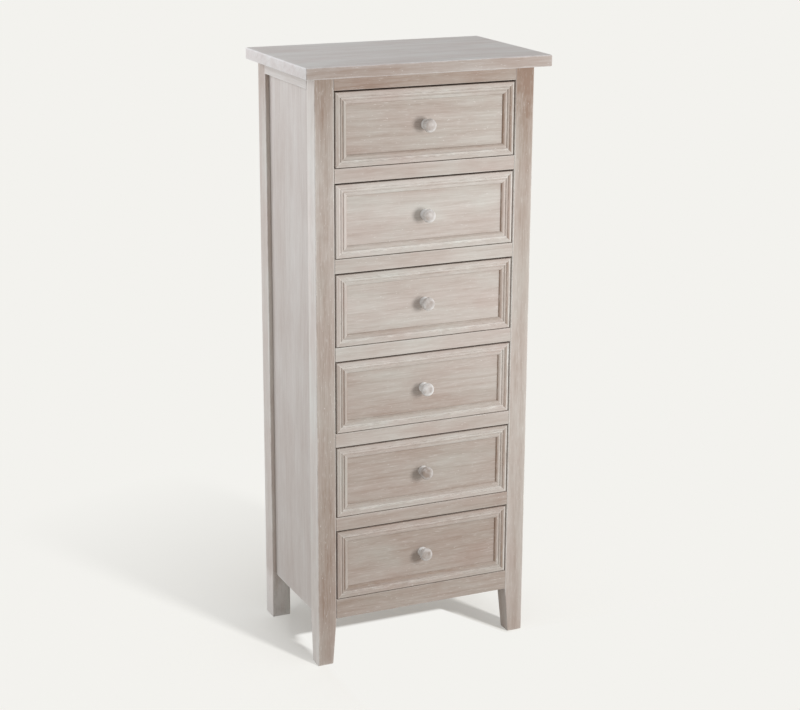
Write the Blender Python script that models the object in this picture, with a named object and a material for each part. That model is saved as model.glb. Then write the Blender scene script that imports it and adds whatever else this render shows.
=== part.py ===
"""A tall narrow chest of drawers (chiffonier) in washed pale wood.

Metres, +Z up. The front looks along -Y, and left is -X. The origin is on the
floor, under the middle of the chest's outer box. Four posts run down into the
feet. Rails are tenoned between them, thin panels close the sides and the back,
and each drawer slides on a glued frame of two runners and a rear crosspiece.
"""

from math import radians, tau

import bmesh
import bpy
from mathutils import Matrix, Vector

# Outer sizes
HEIGHT = 1.185
CARCASS_WIDTH = 0.450
CARCASS_DEPTH = 0.297

# Clearances
FIT = 0.0003
DRAWER_SIDE_GAP = 0.003
DRAWER_TOP_GAP = 0.003
DRAWER_FOOT_GAP = 0.0012
STOP_PLAY = 0.001
OVERRUN = 0.002

# Top board
TOP_THICKNESS = 0.022
TOP_OVERHANG = 0.025
TOP_EDGE_RADIUS = 0.0025
TOP_EDGE_STEPS = 3

# Posts and feet
POST_WIDTH = 0.039
POST_EDGE_RADIUS = 0.002
POST_EDGE_STEPS = 2
FOOT_HEIGHT = 0.096
FOOT_TOE_WIDTH = 0.0315
PANEL_GROOVE_DEPTH = 0.008
BACK_REBATE_WIDTH = 0.010

# Rails and their tenons
TOP_RAIL_HEIGHT = 0.0255
DIVIDER_HEIGHT = 0.0275
BOTTOM_RAIL_HEIGHT = 0.040
FRONT_RAIL_DEPTH = 0.026
SIDE_RAIL_HEIGHT = 0.0255
SIDE_RAIL_THICKNESS = 0.030
REAR_RAIL_THICKNESS = 0.020
TENON_SHOULDER = 0.007
TENON_LENGTH = 0.012
RAIL_EDGE_RADIUS = 0.0008
RAIL_EDGE_STEPS = 1

# Side panels: the panel's face is set back, and a shallow line runs beside each post
PANEL_RECESS = 0.009
SIDE_PANEL_THICKNESS = 0.012
PANEL_LINE_INSET = 0.009
PANEL_LINE_WIDTH = 0.003
PANEL_LINE_DEPTH = 0.002
RAIL_GROOVE_SHARE = 0.7

# Back panel
BACK_PANEL_THICKNESS = 0.005

# Runner frames, each with a raised guide along its outer edges
RUNNER_THICKNESS = 0.016
RUNNER_WIDTH = 0.030
CROSSPIECE_WIDTH = 0.030
GUIDE_HEIGHT = 0.009
GUIDE_PLAY = 0.001

# Drawers
DRAWER_COUNT = 6
FRONT_THICKNESS = 0.020
BOX_INSET = 0.005
BOX_HEIGHT = 0.115
BOX_SIDE_THICKNESS = 0.011
BOX_BACK_THICKNESS = 0.011
BOX_BACK_SETBACK = 0.008
FRONT_DADO_DEPTH = 0.006
BACK_DADO_DEPTH = 0.004
BOTTOM_THICKNESS = 0.004
BOTTOM_RAISE = 0.010
BOTTOM_GROOVE_DEPTH = 0.005
STOP_TAB_WIDTH = 0.040
STOP_TAB_CATCH = 0.005

# Moulded face of a drawer front: how far in, as shares of the moulding's width,
# and how far back, as shares of the panel's sink
MOULDING_WIDTH = 0.023
PANEL_SINK = 0.0045
MOULDING_SHARES = (
    (0.04, 0.00),
    (0.34, 0.00),
    (0.37, 0.30),
    (0.42, 0.30),
    (0.44, 0.06),
    (0.48, 0.00),
    (0.53, 0.08),
    (0.56, 0.34),
    (0.62, 0.36),
    (0.74, 0.40),
    (0.86, 0.47),
    (0.94, 0.56),
    (0.97, 0.66),
    (1.00, 1.00),
)
MOULDING_EDGE_SHARE = 0.20

# Knobs: radii as shares of the named diameters, heights as shares of the projection
KNOB_PROJECTION = 0.026
KNOB_HEAD_DIAMETER = 0.026
KNOB_BASE_DIAMETER = 0.020
KNOB_NECK_DIAMETER = 0.012
KNOB_TENON_DIAMETER = 0.009
KNOB_TENON_SETBACK = 0.001
KNOB_BASE_SHARES = ((1.00, 0.00), (1.00, 0.10), (0.88, 0.16))
KNOB_NECK_SHARES = ((1.00, 0.27), (0.96, 0.38))
KNOB_HEAD_SHARES = (
    (0.66, 0.50),
    (0.92, 0.60),
    (1.00, 0.70),
    (1.00, 0.80),
    (0.94, 0.92),
    (0.82, 1.00),
    (0.55, 0.98),
)
KNOB_FACE_SHARE = 0.965
TURNED_STEPS = 24
TURNED_CREASE = radians(40)
MERGE_DISTANCE = 0.00003

# Finishes: colour, roughness, metallic
FINISHES = {
    "washed_wood": ((0.42, 0.36, 0.32), 0.62, 0.0),
    "washed_front": ((0.45, 0.39, 0.34), 0.60, 0.0),
    "washed_knob": ((0.56, 0.55, 0.52), 0.50, 0.0),
    "bare_wood": ((0.58, 0.43, 0.28), 0.70, 0.0),
    "thin_ply": ((0.52, 0.39, 0.26), 0.75, 0.0),
}

# Places worked out from the sizes
HALF_WIDTH = CARCASS_WIDTH / 2
FRONT_Y = (TOP_OVERHANG - CARCASS_DEPTH) / 2
BACK_Y = FRONT_Y + CARCASS_DEPTH
TOP_UNDERSIDE = HEIGHT - TOP_THICKNESS
CARCASS_TOP = TOP_UNDERSIDE - FIT
POST_INNER = HALF_WIDTH - POST_WIDTH
PANEL_BACK_Y = BACK_Y - BACK_PANEL_THICKNESS
SIDE_RAIL_FOOT = TOP_UNDERSIDE - SIDE_RAIL_HEIGHT
RAIL_GROOVE_DEPTH = TENON_SHOULDER * RAIL_GROOVE_SHARE
OPENINGS_FOOT = FOOT_HEIGHT + BOTTOM_RAIL_HEIGHT
OPENINGS_TOP = TOP_UNDERSIDE - TOP_RAIL_HEIGHT
DIVIDERS_TOTAL = DIVIDER_HEIGHT * (DRAWER_COUNT - 1)
OPENING_HEIGHT = (OPENINGS_TOP - OPENINGS_FOOT - DIVIDERS_TOTAL) / DRAWER_COUNT

# Places inside a drawer, from the front plane and the floor of its opening
FRONT_HALF_WIDTH = POST_INNER - DRAWER_SIDE_GAP
BOX_OUTER = FRONT_HALF_WIDTH - BOX_INSET
BOX_INNER = BOX_OUTER - BOX_SIDE_THICKNESS
BOX_TOP = FIT + BOX_HEIGHT
BOX_END = CARCASS_DEPTH - BACK_PANEL_THICKNESS - STOP_PLAY
BOTTOM_FOOT = FIT + BOTTOM_RAISE
BOTTOM_TOP = BOTTOM_FOOT + BOTTOM_THICKNESS
BACK_REAR = BOX_END - BOX_BACK_SETBACK
BACK_FRONT = BACK_REAR - BOX_BACK_THICKNESS
DRAWER_TRAVEL = BACK_FRONT - FRONT_RAIL_DEPTH - STOP_PLAY
FRONT_FOOT = DRAWER_FOOT_GAP
FRONT_TOP = OPENING_HEIGHT - DRAWER_TOP_GAP
KNOB_HEIGHT = (FRONT_FOOT + FRONT_TOP) / 2


class Block:
    """A box given by its lowest and highest corner."""

    def __init__(self, x, y, z):
        self.low = Vector((x[0], y[0], z[0]))
        self.high = Vector((x[1], y[1], z[1]))

    def mesh(self):
        """The box as a new bmesh."""
        place = Matrix.Translation((self.low + self.high) / 2)
        stretch = Matrix.Diagonal((*(self.high - self.low), 1))
        bm = bmesh.new()
        bmesh.ops.create_cube(bm, size=1, matrix=place @ stretch)
        return bm

    def grown(self, by):
        """The box made larger by the same amount on all its sides."""
        low, high = self.low - Vector((by,) * 3), self.high + Vector((by,) * 3)
        return Block(*zip(low, high))

    def mirrored(self):
        """The same box on the other side of the chest."""
        return Block(
            (-self.high.x, -self.low.x),
            (self.low.y, self.high.y),
            (self.low.z, self.high.z),
        )


def clear_scene():
    """Remove every object that the scene starts with."""
    for thing in list(bpy.data.objects):
        bpy.data.objects.remove(thing, do_unlink=True)


def finish(name):
    """The material of a named finish."""
    found = bpy.data.materials.get(name)
    if found:
        return found
    colour, roughness, metallic = FINISHES[name]
    made = bpy.data.materials.new(name)
    made.use_nodes = True
    shader = made.node_tree.nodes["Principled BSDF"]
    shader.inputs["Base Color"].default_value = (*colour, 1)
    shader.inputs["Roughness"].default_value = roughness
    shader.inputs["Metallic"].default_value = metallic
    return made


def put(name, mesh, finish_name, parent=None, place=(0, 0, 0)):
    """Add a piece to the scene, dressed in its finish."""
    piece = bpy.data.objects.new(name, mesh)
    bpy.context.collection.objects.link(piece)
    piece.location = place
    piece.parent = parent
    if not mesh.materials:
        mesh.materials.append(finish(finish_name))
    return piece


def mesh_from(bm, name):
    """Turn a bmesh into mesh data whose faces point out."""
    bmesh.ops.recalc_face_normals(bm, faces=bm.faces)
    mesh = bpy.data.meshes.new(name)
    bm.to_mesh(mesh)
    bm.free()
    return mesh


def carved(mesh, cutters):
    """Cut each cutter mesh out of a mesh, one after another."""
    body = bpy.data.objects.new("carving_body", mesh)
    bpy.context.collection.objects.link(body)
    for cutter_mesh in cutters:
        cutter = bpy.data.objects.new("carving_tool", cutter_mesh)
        bpy.context.collection.objects.link(cutter)
        cutter.hide_render = True
        cutter.display_type = "WIRE"
        cut = body.modifiers.new("cut", "BOOLEAN")
        cut.operation = "DIFFERENCE"
        cut.solver = "EXACT"
        cut.object = cutter
        bpy.context.view_layer.update()
        graph = bpy.context.evaluated_depsgraph_get()
        result = bpy.data.meshes.new_from_object(body.evaluated_get(graph))
        body.modifiers.clear()
        body.data = result
        bpy.data.objects.remove(cutter, do_unlink=True)
    result = body.data
    bpy.data.objects.remove(body, do_unlink=True)
    return result


def block_meshes(blocks):
    """Cutter meshes for a list of boxes."""
    return [mesh_from(block.mesh(), "cutter") for block in blocks]


def long_edges(bm, axis, block=None):
    """The edges that run along an axis, or only those at the corners of a box."""
    others = [other for other in range(3) if other != axis]
    found = []
    for edge in bm.edges:
        a, b = (vertex.co for vertex in edge.verts)
        if abs(a[axis] - b[axis]) < FIT:
            continue
        corner = block is None or all(
            min(abs(end[other] - block.low[other]), abs(end[other] - block.high[other])) < FIT
            for end in (a, b)
            for other in others
        )
        if corner:
            found.append(edge)
    return found


def floor_edges(bm):
    """The edges that lie on the floor."""
    return [edge for edge in bm.edges if all(vertex.co.z < FIT for vertex in edge.verts)]


def ease(bm, edges, radius, segments):
    """Round the given edges."""
    bmesh.ops.bevel(
        bm,
        geom=edges,
        offset=radius,
        offset_type="OFFSET",
        segments=segments,
        profile=0.5,
        affect="EDGES",
    )


def prism(outline, low, high, lift):
    """A closed prism: a flat outline at the low level, extruded to the high level."""
    bm = bmesh.new()
    corners = [bm.verts.new(lift(a, b, low)) for a, b in outline]
    floor = bm.faces.new(corners)
    top = bmesh.ops.extrude_face_region(bm, geom=[floor])["geom"]
    for vertex in (item for item in top if isinstance(item, bmesh.types.BMVert)):
        index = min(range(len(corners)), key=lambda i: (corners[i].co - vertex.co).length)
        vertex.co = Vector(lift(*outline[index], high))
    return bm


def build_top_board():
    """The top board, with all its edges eased."""
    reach = HALF_WIDTH + TOP_OVERHANG
    board = Block((-reach, reach), (FRONT_Y - TOP_OVERHANG, BACK_Y), (TOP_UNDERSIDE, HEIGHT))
    bm = board.mesh()
    ease(bm, list(bm.edges), TOP_EDGE_RADIUS, TOP_EDGE_STEPS)
    put("top_board", mesh_from(bm, "top_board"), "washed_wood")


class Rail:
    """A rail with a tenon at each end, along X or along Y."""

    def __init__(self, name, block, axis):
        self.name = name
        self.block = block
        self.axis = axis

    def mesh(self):
        """The rail's bmesh: each end is inset to the shoulder and drawn out into the tenon."""
        bm = self.block.mesh()
        ends = [face for face in bm.faces if abs(face.normal[self.axis]) > 0.5]
        for face in ends:
            bmesh.ops.inset_individual(
                bm, faces=[face], thickness=TENON_SHOULDER, depth=0, use_even_offset=True
            )
            bmesh.ops.inset_individual(bm, faces=[face], thickness=0, depth=TENON_LENGTH)
        ease(bm, long_edges(bm, self.axis, self.block), RAIL_EDGE_RADIUS, RAIL_EDGE_STEPS)
        return bm

    def tenon(self, side):
        """The box of the tenon at the low (-1) or high (1) end."""
        low, high = self.block.low.copy(), self.block.high.copy()
        for other in range(3):
            if other != self.axis:
                low[other] += TENON_SHOULDER
                high[other] -= TENON_SHOULDER
        if side < 0:
            high[self.axis] = low[self.axis] + OVERRUN
            low[self.axis] -= TENON_LENGTH
        else:
            low[self.axis] = high[self.axis] - OVERRUN
            high[self.axis] += TENON_LENGTH
        return Block(*zip(low, high))

    def mortise(self, side):
        """The cutter for the tenon's hole in a post."""
        return self.tenon(side).grown(FIT)


def opening_floor(number):
    """The level of an opening's floor; drawer 1 is the top one."""
    return OPENINGS_FOOT + (DRAWER_COUNT - number) * (OPENING_HEIGHT + DIVIDER_HEIGHT)


def front_rails():
    """The top rail, the dividers and the bottom rail, level with the posts' front."""
    reach = POST_INNER - FIT
    width, depth = (-reach, reach), (FRONT_Y, FRONT_Y + FRONT_RAIL_DEPTH)
    rails = [Rail("front_top_rail", Block(width, depth, (OPENINGS_TOP, CARCASS_TOP)), 0)]
    for number in range(1, DRAWER_COUNT):
        top = opening_floor(number)
        block = Block(width, depth, (top - DIVIDER_HEIGHT, top))
        rails.append(Rail(f"divider_rail_{number}", block, 0))
    block = Block(width, depth, (FOOT_HEIGHT, OPENINGS_FOOT))
    rails.append(Rail("front_bottom_rail", block, 0))
    return rails


def rear_rail():
    """The rail between the rear posts, under the lowest runner frame."""
    reach = POST_INNER - FIT
    face = PANEL_BACK_Y - FIT
    top = OPENINGS_FOOT - RUNNER_THICKNESS - FIT
    block = Block((-reach, reach), (face - REAR_RAIL_THICKNESS, face), (FOOT_HEIGHT, top))
    return Rail("rear_bottom_rail", block, 0)


def side_rail():
    """The left side's top rail, level with the posts' outer faces."""
    run = (FRONT_Y + POST_WIDTH + FIT, BACK_Y - POST_WIDTH - FIT)
    width = (-HALF_WIDTH, -HALF_WIDTH + SIDE_RAIL_THICKNESS)
    return Rail("side_top_rail_left", Block(width, run, (SIDE_RAIL_FOOT, CARCASS_TOP)), 1)


def mirrored_mesh(mesh, name):
    """The same mesh on the other side of the chest."""
    copy = mesh.copy()
    copy.name = name
    copy.transform(Matrix.Diagonal((-1, 1, 1, 1)))
    copy.flip_normals()
    return copy


def put_pair(stem, mesh, finish_name):
    """Add a left-hand piece and its mirror image on the right."""
    put(f"{stem}_left", mesh, finish_name)
    put(f"{stem}_right", mirrored_mesh(mesh, f"{stem}_right"), finish_name)


def panel_channel():
    """The space that the left side panel takes between the posts and under the rail."""
    face = -HALF_WIDTH + PANEL_RECESS
    run = (FRONT_Y + POST_WIDTH - PANEL_GROOVE_DEPTH, BACK_Y - POST_WIDTH + PANEL_GROOVE_DEPTH)
    top = SIDE_RAIL_FOOT + RAIL_GROOVE_DEPTH
    return Block((face, face + SIDE_PANEL_THICKNESS), run, (FOOT_HEIGHT, top))


def panel_groove():
    """The cutter for the panel's grooves in the posts and the side rail."""
    channel = panel_channel()
    return Block(
        (channel.low.x - FIT, channel.high.x + FIT),
        (channel.low.y, channel.high.y),
        (channel.low.z - FIT, channel.high.z),
    )


def build_side_panels():
    """The two side panels, each with a shallow line beside both posts."""
    channel = panel_channel()
    face, inner = channel.low.x, channel.high.x
    start, end = channel.low.y + FIT, channel.high.y - FIT
    middle = PANEL_LINE_WIDTH / 2
    line_front = FRONT_Y + POST_WIDTH + PANEL_LINE_INSET
    line_back = BACK_Y - POST_WIDTH - PANEL_LINE_INSET
    outline = [
        (face, start),
        (face, line_front - middle),
        (face + PANEL_LINE_DEPTH, line_front),
        (face, line_front + middle),
        (face, line_back - middle),
        (face + PANEL_LINE_DEPTH, line_back),
        (face, line_back + middle),
        (face, end),
        (inner, end),
        (inner, start),
    ]
    bm = prism(outline, channel.low.z, channel.high.z - FIT, lambda x, y, z: (x, y, z))
    put_pair("side_panel", mesh_from(bm, "side_panel_left"), "washed_wood")


def post_mesh(near_y, far_y):
    """A plain left post from its outer corner, with eased long edges and foot."""
    low_y, high_y = sorted((near_y, far_y))
    block = Block((-HALF_WIDTH, -POST_INNER), (low_y, high_y), (0, CARCASS_TOP))
    bm = block.mesh()
    ease(bm, long_edges(bm, 2) + floor_edges(bm), POST_EDGE_RADIUS, POST_EDGE_STEPS)
    return bm


def taper_foot(bm):
    """Narrow a front post's two inner faces from the bottom rail down to the floor."""
    bmesh.ops.bisect_plane(
        bm,
        geom=list(bm.verts) + list(bm.edges) + list(bm.faces),
        plane_co=(0, 0, FOOT_HEIGHT),
        plane_no=(0, 0, 1),
    )
    loss = 1 - FOOT_TOE_WIDTH / POST_WIDTH
    for vertex in bm.verts:
        drop = 1 - vertex.co.z / FOOT_HEIGHT
        if drop > 0:
            vertex.co.x -= (vertex.co.x + HALF_WIDTH) * loss * drop
            vertex.co.y -= (vertex.co.y - FRONT_Y) * loss * drop


def build_posts(rails, rear, side):
    """The four posts, cut for the rails' tenons, the side panels and the back panel."""
    front = post_mesh(FRONT_Y, FRONT_Y + POST_WIDTH)
    taper_foot(front)
    cuts = [rail.mortise(-1) for rail in rails] + [side.mortise(-1), panel_groove()]
    mesh = carved(mesh_from(front, "post_front_left"), block_meshes(cuts))
    put_pair("post_front", mesh, "washed_wood")

    back = post_mesh(BACK_Y, BACK_Y - POST_WIDTH)
    rebate = Block(
        (-POST_INNER - BACK_REBATE_WIDTH, -POST_INNER + OVERRUN),
        (PANEL_BACK_Y - FIT, BACK_Y + OVERRUN),
        (FOOT_HEIGHT - FIT, CARCASS_TOP + OVERRUN),
    )
    cuts = [rear.mortise(-1), side.mortise(1), panel_groove(), rebate]
    mesh = carved(mesh_from(back, "post_rear_left"), block_meshes(cuts))
    put_pair("post_rear", mesh, "washed_wood")


def build_rails(rails, rear, side):
    """The front rails, the rear rail and the two grooved side rails."""
    for rail in rails + [rear]:
        put(rail.name, mesh_from(rail.mesh(), rail.name), "washed_wood")
    groove = panel_groove()
    run = (side.block.low.y - OVERRUN, side.block.high.y + OVERRUN)
    cutter = Block((groove.low.x, groove.high.x), run, (groove.low.z, groove.high.z))
    mesh = carved(mesh_from(side.mesh(), side.name), block_meshes([cutter]))
    put_pair("side_top_rail", mesh, "washed_wood")


def build_back_panel():
    """The thin panel in the rear posts' rebates."""
    reach = POST_INNER + BACK_REBATE_WIDTH - FIT
    block = Block((-reach, reach), (PANEL_BACK_Y, BACK_Y), (FOOT_HEIGHT, CARCASS_TOP))
    put("back_panel", mesh_from(block.mesh(), "back_panel"), "thin_ply")


def build_runner_frames():
    """One frame under each drawer, level with the rail that it meets, guides raised."""
    outer = POST_INNER - FIT
    inner = outer - RUNNER_WIDTH
    front = FRONT_Y + FRONT_RAIL_DEPTH + FIT
    rear = PANEL_BACK_Y - FIT
    cross = rear - CROSSPIECE_WIDTH
    outline = [
        (-outer, front),
        (-inner, front),
        (-inner, cross),
        (inner, cross),
        (inner, front),
        (outer, front),
        (outer, rear),
        (-outer, rear),
    ]
    bm = prism(outline, -RUNNER_THICKNESS, GUIDE_HEIGHT, lambda x, y, z: (x, y, z))
    between = BOX_OUTER + GUIDE_PLAY
    run = (front - OVERRUN, rear + OVERRUN)
    slideway = Block((-between, between), run, (0, GUIDE_HEIGHT + OVERRUN))
    mesh = carved(mesh_from(bm, "runner_frame"), block_meshes([slideway]))
    for number in range(1, DRAWER_COUNT + 1):
        place = (0, 0, opening_floor(number))
        put(f"runner_frame_{number}", mesh, "bare_wood", place=place)


def turned(outline, name):
    """A turned piece about the Z axis from (radius, height) points, ending on the axis."""
    bm = bmesh.new()
    line = [bm.verts.new((radius, 0, height)) for radius, height in outline]
    edges = [bm.edges.new(pair) for pair in zip(line, line[1:])]
    bmesh.ops.spin(
        bm,
        geom=line + edges,
        cent=(0, 0, 0),
        axis=(0, 0, 1),
        angle=tau,
        steps=TURNED_STEPS,
        use_merge=True,
    )
    bmesh.ops.remove_doubles(bm, verts=bm.verts, dist=MERGE_DISTANCE)
    mesh = mesh_from(bm, name)
    mesh.shade_smooth()
    mesh.set_sharp_from_angle(angle=TURNED_CREASE)
    return mesh


def knob_mesh():
    """The turned knob with its tenon, its axis along -Y and its base at the origin."""
    base, neck, head, tenon = (
        size / 2
        for size in (
            KNOB_BASE_DIAMETER,
            KNOB_NECK_DIAMETER,
            KNOB_HEAD_DIAMETER,
            KNOB_TENON_DIAMETER,
        )
    )
    depth = FRONT_THICKNESS - PANEL_SINK - KNOB_TENON_SETBACK
    outline = [(0, -depth), (tenon, -depth), (tenon, 0)]
    for radius, shares in (
        (base, KNOB_BASE_SHARES),
        (neck, KNOB_NECK_SHARES),
        (head, KNOB_HEAD_SHARES),
    ):
        outline += [(radius * a, KNOB_PROJECTION * b) for a, b in shares]
    outline.append((0, KNOB_PROJECTION * KNOB_FACE_SHARE))
    mesh = turned(outline, "knob")
    mesh.transform(Matrix.Rotation(tau / 4, 4, "X"))
    return mesh


def knob_hole():
    """The cutter for the knob's tenon, through the drawer front."""
    bm = bmesh.new()
    radius = KNOB_TENON_DIAMETER / 2 + FIT
    length = FRONT_THICKNESS + 2 * OVERRUN
    place = Matrix.Translation((0, FRONT_THICKNESS / 2, KNOB_HEIGHT))
    bmesh.ops.create_cone(
        bm,
        cap_ends=True,
        segments=TURNED_STEPS,
        radius1=radius,
        radius2=radius,
        depth=length,
        matrix=place @ Matrix.Rotation(tau / 4, 4, "X"),
    )
    return mesh_from(bm, "knob_hole")


def drawer_front_mesh():
    """The front: its face is inset step by step into the moulding and the sunk panel."""
    block = Block(
        (-FRONT_HALF_WIDTH, FRONT_HALF_WIDTH),
        (PANEL_SINK * MOULDING_EDGE_SHARE, FRONT_THICKNESS),
        (FRONT_FOOT, FRONT_TOP),
    )
    bm = block.mesh()
    face = min(bm.faces, key=lambda item: item.calc_center_median().y)
    inset, sink = 0, PANEL_SINK * MOULDING_EDGE_SHARE
    for across_share, sink_share in MOULDING_SHARES:
        across, down = MOULDING_WIDTH * across_share, PANEL_SINK * sink_share
        bmesh.ops.inset_individual(
            bm, faces=[face], thickness=across - inset, depth=sink - down, use_even_offset=True
        )
        inset, sink = across, down
    dado = Block(
        (BOX_INNER - FIT, BOX_OUTER + FIT),
        (FRONT_THICKNESS - FRONT_DADO_DEPTH, FRONT_THICKNESS + OVERRUN),
        (-OVERRUN, BOX_TOP + FIT),
    )
    reach = BOX_INNER + BOTTOM_GROOVE_DEPTH
    groove = Block(
        (-reach, reach),
        (FRONT_THICKNESS - BOTTOM_GROOVE_DEPTH, FRONT_THICKNESS + OVERRUN),
        (BOTTOM_FOOT - FIT, BOTTOM_TOP + FIT),
    )
    cuts = block_meshes([dado, dado.mirrored(), groove]) + [knob_hole()]
    return carved(mesh_from(bm, "drawer_front"), cuts)


def drawer_side_mesh():
    """The left side of a drawer box, grooved for the bottom and cut for the back."""
    start = FRONT_THICKNESS - FRONT_DADO_DEPTH + FIT
    board = Block((-BOX_OUTER, -BOX_INNER), (start, BOX_END), (FIT, BOX_TOP))
    groove = Block(
        (-BOX_INNER - BOTTOM_GROOVE_DEPTH, -BOX_INNER + OVERRUN),
        (start - OVERRUN, BOX_END + OVERRUN),
        (BOTTOM_FOOT - FIT, BOTTOM_TOP + FIT),
    )
    dado = Block(
        (-BOX_INNER - BACK_DADO_DEPTH, -BOX_INNER + OVERRUN),
        (BACK_FRONT - FIT, BACK_REAR + FIT),
        ((BOTTOM_FOOT + BOTTOM_TOP) / 2, BOX_TOP + OVERRUN),
    )
    return carved(mesh_from(board.mesh(), "drawer_side_left"), block_meshes([groove, dado]))


def drawer_back_mesh():
    """The back, with the stop tab that catches behind the rail above."""
    reach = BOX_INNER + BACK_DADO_DEPTH - FIT
    tab = STOP_TAB_WIDTH / 2
    foot, top = BOTTOM_TOP + FIT, OPENING_HEIGHT + STOP_TAB_CATCH
    outline = [
        (-reach, foot),
        (reach, foot),
        (reach, BOX_TOP),
        (tab, BOX_TOP),
        (tab, top),
        (-tab, top),
        (-tab, BOX_TOP),
        (-reach, BOX_TOP),
    ]
    bm = prism(outline, BACK_FRONT, BACK_REAR, lambda x, z, y: (x, y, z))
    return mesh_from(bm, "drawer_back")


def drawer_bottom_mesh():
    """The thin bottom, in grooves in the front and the sides, under the back."""
    reach = BOX_INNER + BOTTOM_GROOVE_DEPTH - FIT
    run = (FRONT_THICKNESS - BOTTOM_GROOVE_DEPTH + FIT, BOX_END)
    block = Block((-reach, reach), run, (BOTTOM_FOOT, BOTTOM_TOP))
    return mesh_from(block.mesh(), "drawer_bottom")


def build_drawers():
    """The drawers: each hangs on an empty at the front plane and its opening's floor."""
    side = drawer_side_mesh()
    pieces = {
        "front": (drawer_front_mesh(), "washed_front"),
        "side_left": (side, "bare_wood"),
        "side_right": (mirrored_mesh(side, "drawer_side_right"), "bare_wood"),
        "back": (drawer_back_mesh(), "bare_wood"),
        "bottom": (drawer_bottom_mesh(), "thin_ply"),
    }
    knob = knob_mesh()
    for number in range(1, DRAWER_COUNT + 1):
        slide = bpy.data.objects.new(f"drawer_{number}_slide", None)
        bpy.context.collection.objects.link(slide)
        slide.location = (0, FRONT_Y, opening_floor(number))
        for part, (mesh, finish_name) in pieces.items():
            put(f"drawer_{number}_{part}", mesh, finish_name, parent=slide)
        place = (0, PANEL_SINK - FIT, KNOB_HEIGHT)
        put(f"drawer_{number}_knob", knob, "washed_knob", parent=slide, place=place)


def main():
    """Build the chest."""
    clear_scene()
    rails, rear, side = front_rails(), rear_rail(), side_rail()
    build_top_board()
    build_posts(rails, rear, side)
    build_rails(rails, rear, side)
    build_side_panels()
    build_back_panel()
    build_runner_frames()
    build_drawers()
    print(f"opening height {OPENING_HEIGHT:.4f} m, drawer travel {DRAWER_TRAVEL:.4f} m")


main()
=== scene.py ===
"""The looks of a tall narrow chest of drawers in washed pale wood.

Metres, +Z up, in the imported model's own frame: the front looks along -Y and left is -X.
Each sub-assembly is a class that holds its sizes, makes its meshes and dresses them.
"""

import logging
from collections.abc import Callable
from dataclasses import dataclass, field
from enum import Enum, IntEnum
from math import cos, radians, sin, tau
from random import Random

import bmesh
import bpy
from mathutils import Matrix, Vector


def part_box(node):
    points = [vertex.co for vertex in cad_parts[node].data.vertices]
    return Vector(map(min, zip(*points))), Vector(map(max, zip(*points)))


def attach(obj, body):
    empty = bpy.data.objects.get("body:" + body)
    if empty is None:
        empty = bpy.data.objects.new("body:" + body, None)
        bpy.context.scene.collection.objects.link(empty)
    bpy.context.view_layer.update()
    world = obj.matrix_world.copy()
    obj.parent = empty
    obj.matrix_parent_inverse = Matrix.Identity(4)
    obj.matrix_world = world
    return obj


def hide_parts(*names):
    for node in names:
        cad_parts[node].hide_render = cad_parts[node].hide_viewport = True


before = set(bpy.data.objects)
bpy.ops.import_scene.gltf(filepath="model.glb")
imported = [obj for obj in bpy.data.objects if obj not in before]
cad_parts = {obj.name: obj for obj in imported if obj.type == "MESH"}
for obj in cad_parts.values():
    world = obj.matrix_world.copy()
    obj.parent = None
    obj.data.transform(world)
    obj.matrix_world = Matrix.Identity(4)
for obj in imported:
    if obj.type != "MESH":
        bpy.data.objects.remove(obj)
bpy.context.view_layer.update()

log = logging.getLogger("chest")

Triple = tuple[float, float, float]
Pairs = tuple[tuple[float, float], ...]
Box = tuple[Vector, Vector]
Settings = dict[str, object]
Inputs = dict[str | int, object]
Material = bpy.types.Material
Mesh = bpy.types.Mesh
Object = bpy.types.Object

DRAWER_COUNT = 6
QUARTER = tau / 4

# Points closer than this become one, and faces that meet at less than this are joined.
MERGE_DISTANCE = 0.00001
FLAT_ANGLE = radians(0.5)

# Past these angles an edge stays sharp, on boards and on mouldings.
CREASE = radians(50)
STRIP_CREASE = radians(35)

# Faces across a rounded edge.
EDGE_SEGMENTS = 2

# What stands in a table of cover where nothing is gained.
NO_GAIN = 0.5

# What a strip's points keep: the share of its width, the place along it, its half length there.
STRIP_ATTRIBUTES = ("across", "along", "end")


class Grain(Enum):
    """The way the wood's grain runs, with the turn that brings it onto a pattern's X axis."""

    ALONG_X = (0.0, 0.0, 0.0)
    ALONG_Y = (0.0, 0.0, -QUARTER)
    ALONG_Z = (0.0, QUARTER, 0.0)


class Side(Enum):
    """A side of a drawer's moulding, with the turn about Y that brings a left strip there."""

    LEFT = 0.0
    TOP = QUARTER
    RIGHT = 2 * QUARTER
    BOTTOM = -QUARTER

    @property
    def upright(self) -> bool:
        """Whether the strip on this side stands upright."""
        return self in (Side.LEFT, Side.RIGHT)

    @property
    def wood(self) -> str:
        """The name of the input with this strip's material, which carries this side's painted light
        and shade.
        """
        return f"{self.name.title()} wood"


class Seed(IntEnum):
    """Where the pattern seeds of each kind of piece start."""

    STEEL = 3
    TOP_BOARD = 11
    POST = 20
    SIDE = 30
    RAIL = 40
    REAR_RAIL = 50
    RUNNER_FRAME = 60
    BACK_PANEL = 70
    FRONT = 100
    STRIP = 120
    KNOB = 150
    BOX = 200
    BOTTOM = 300


def math_method(operation: str, swapped: bool = False) -> Callable[["Field", object], "Field"]:
    """Make a method of Field that adds a Math node.

    Args:
        operation: the node's operation.
        swapped: whether the other value comes first.

    Returns:
        The method.
    """

    def method(value: "Field", other: object) -> "Field":
        """The two values joined by the operation."""
        return value.graph.math(operation, *((other, value) if swapped else (value, other)))

    return method


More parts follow.
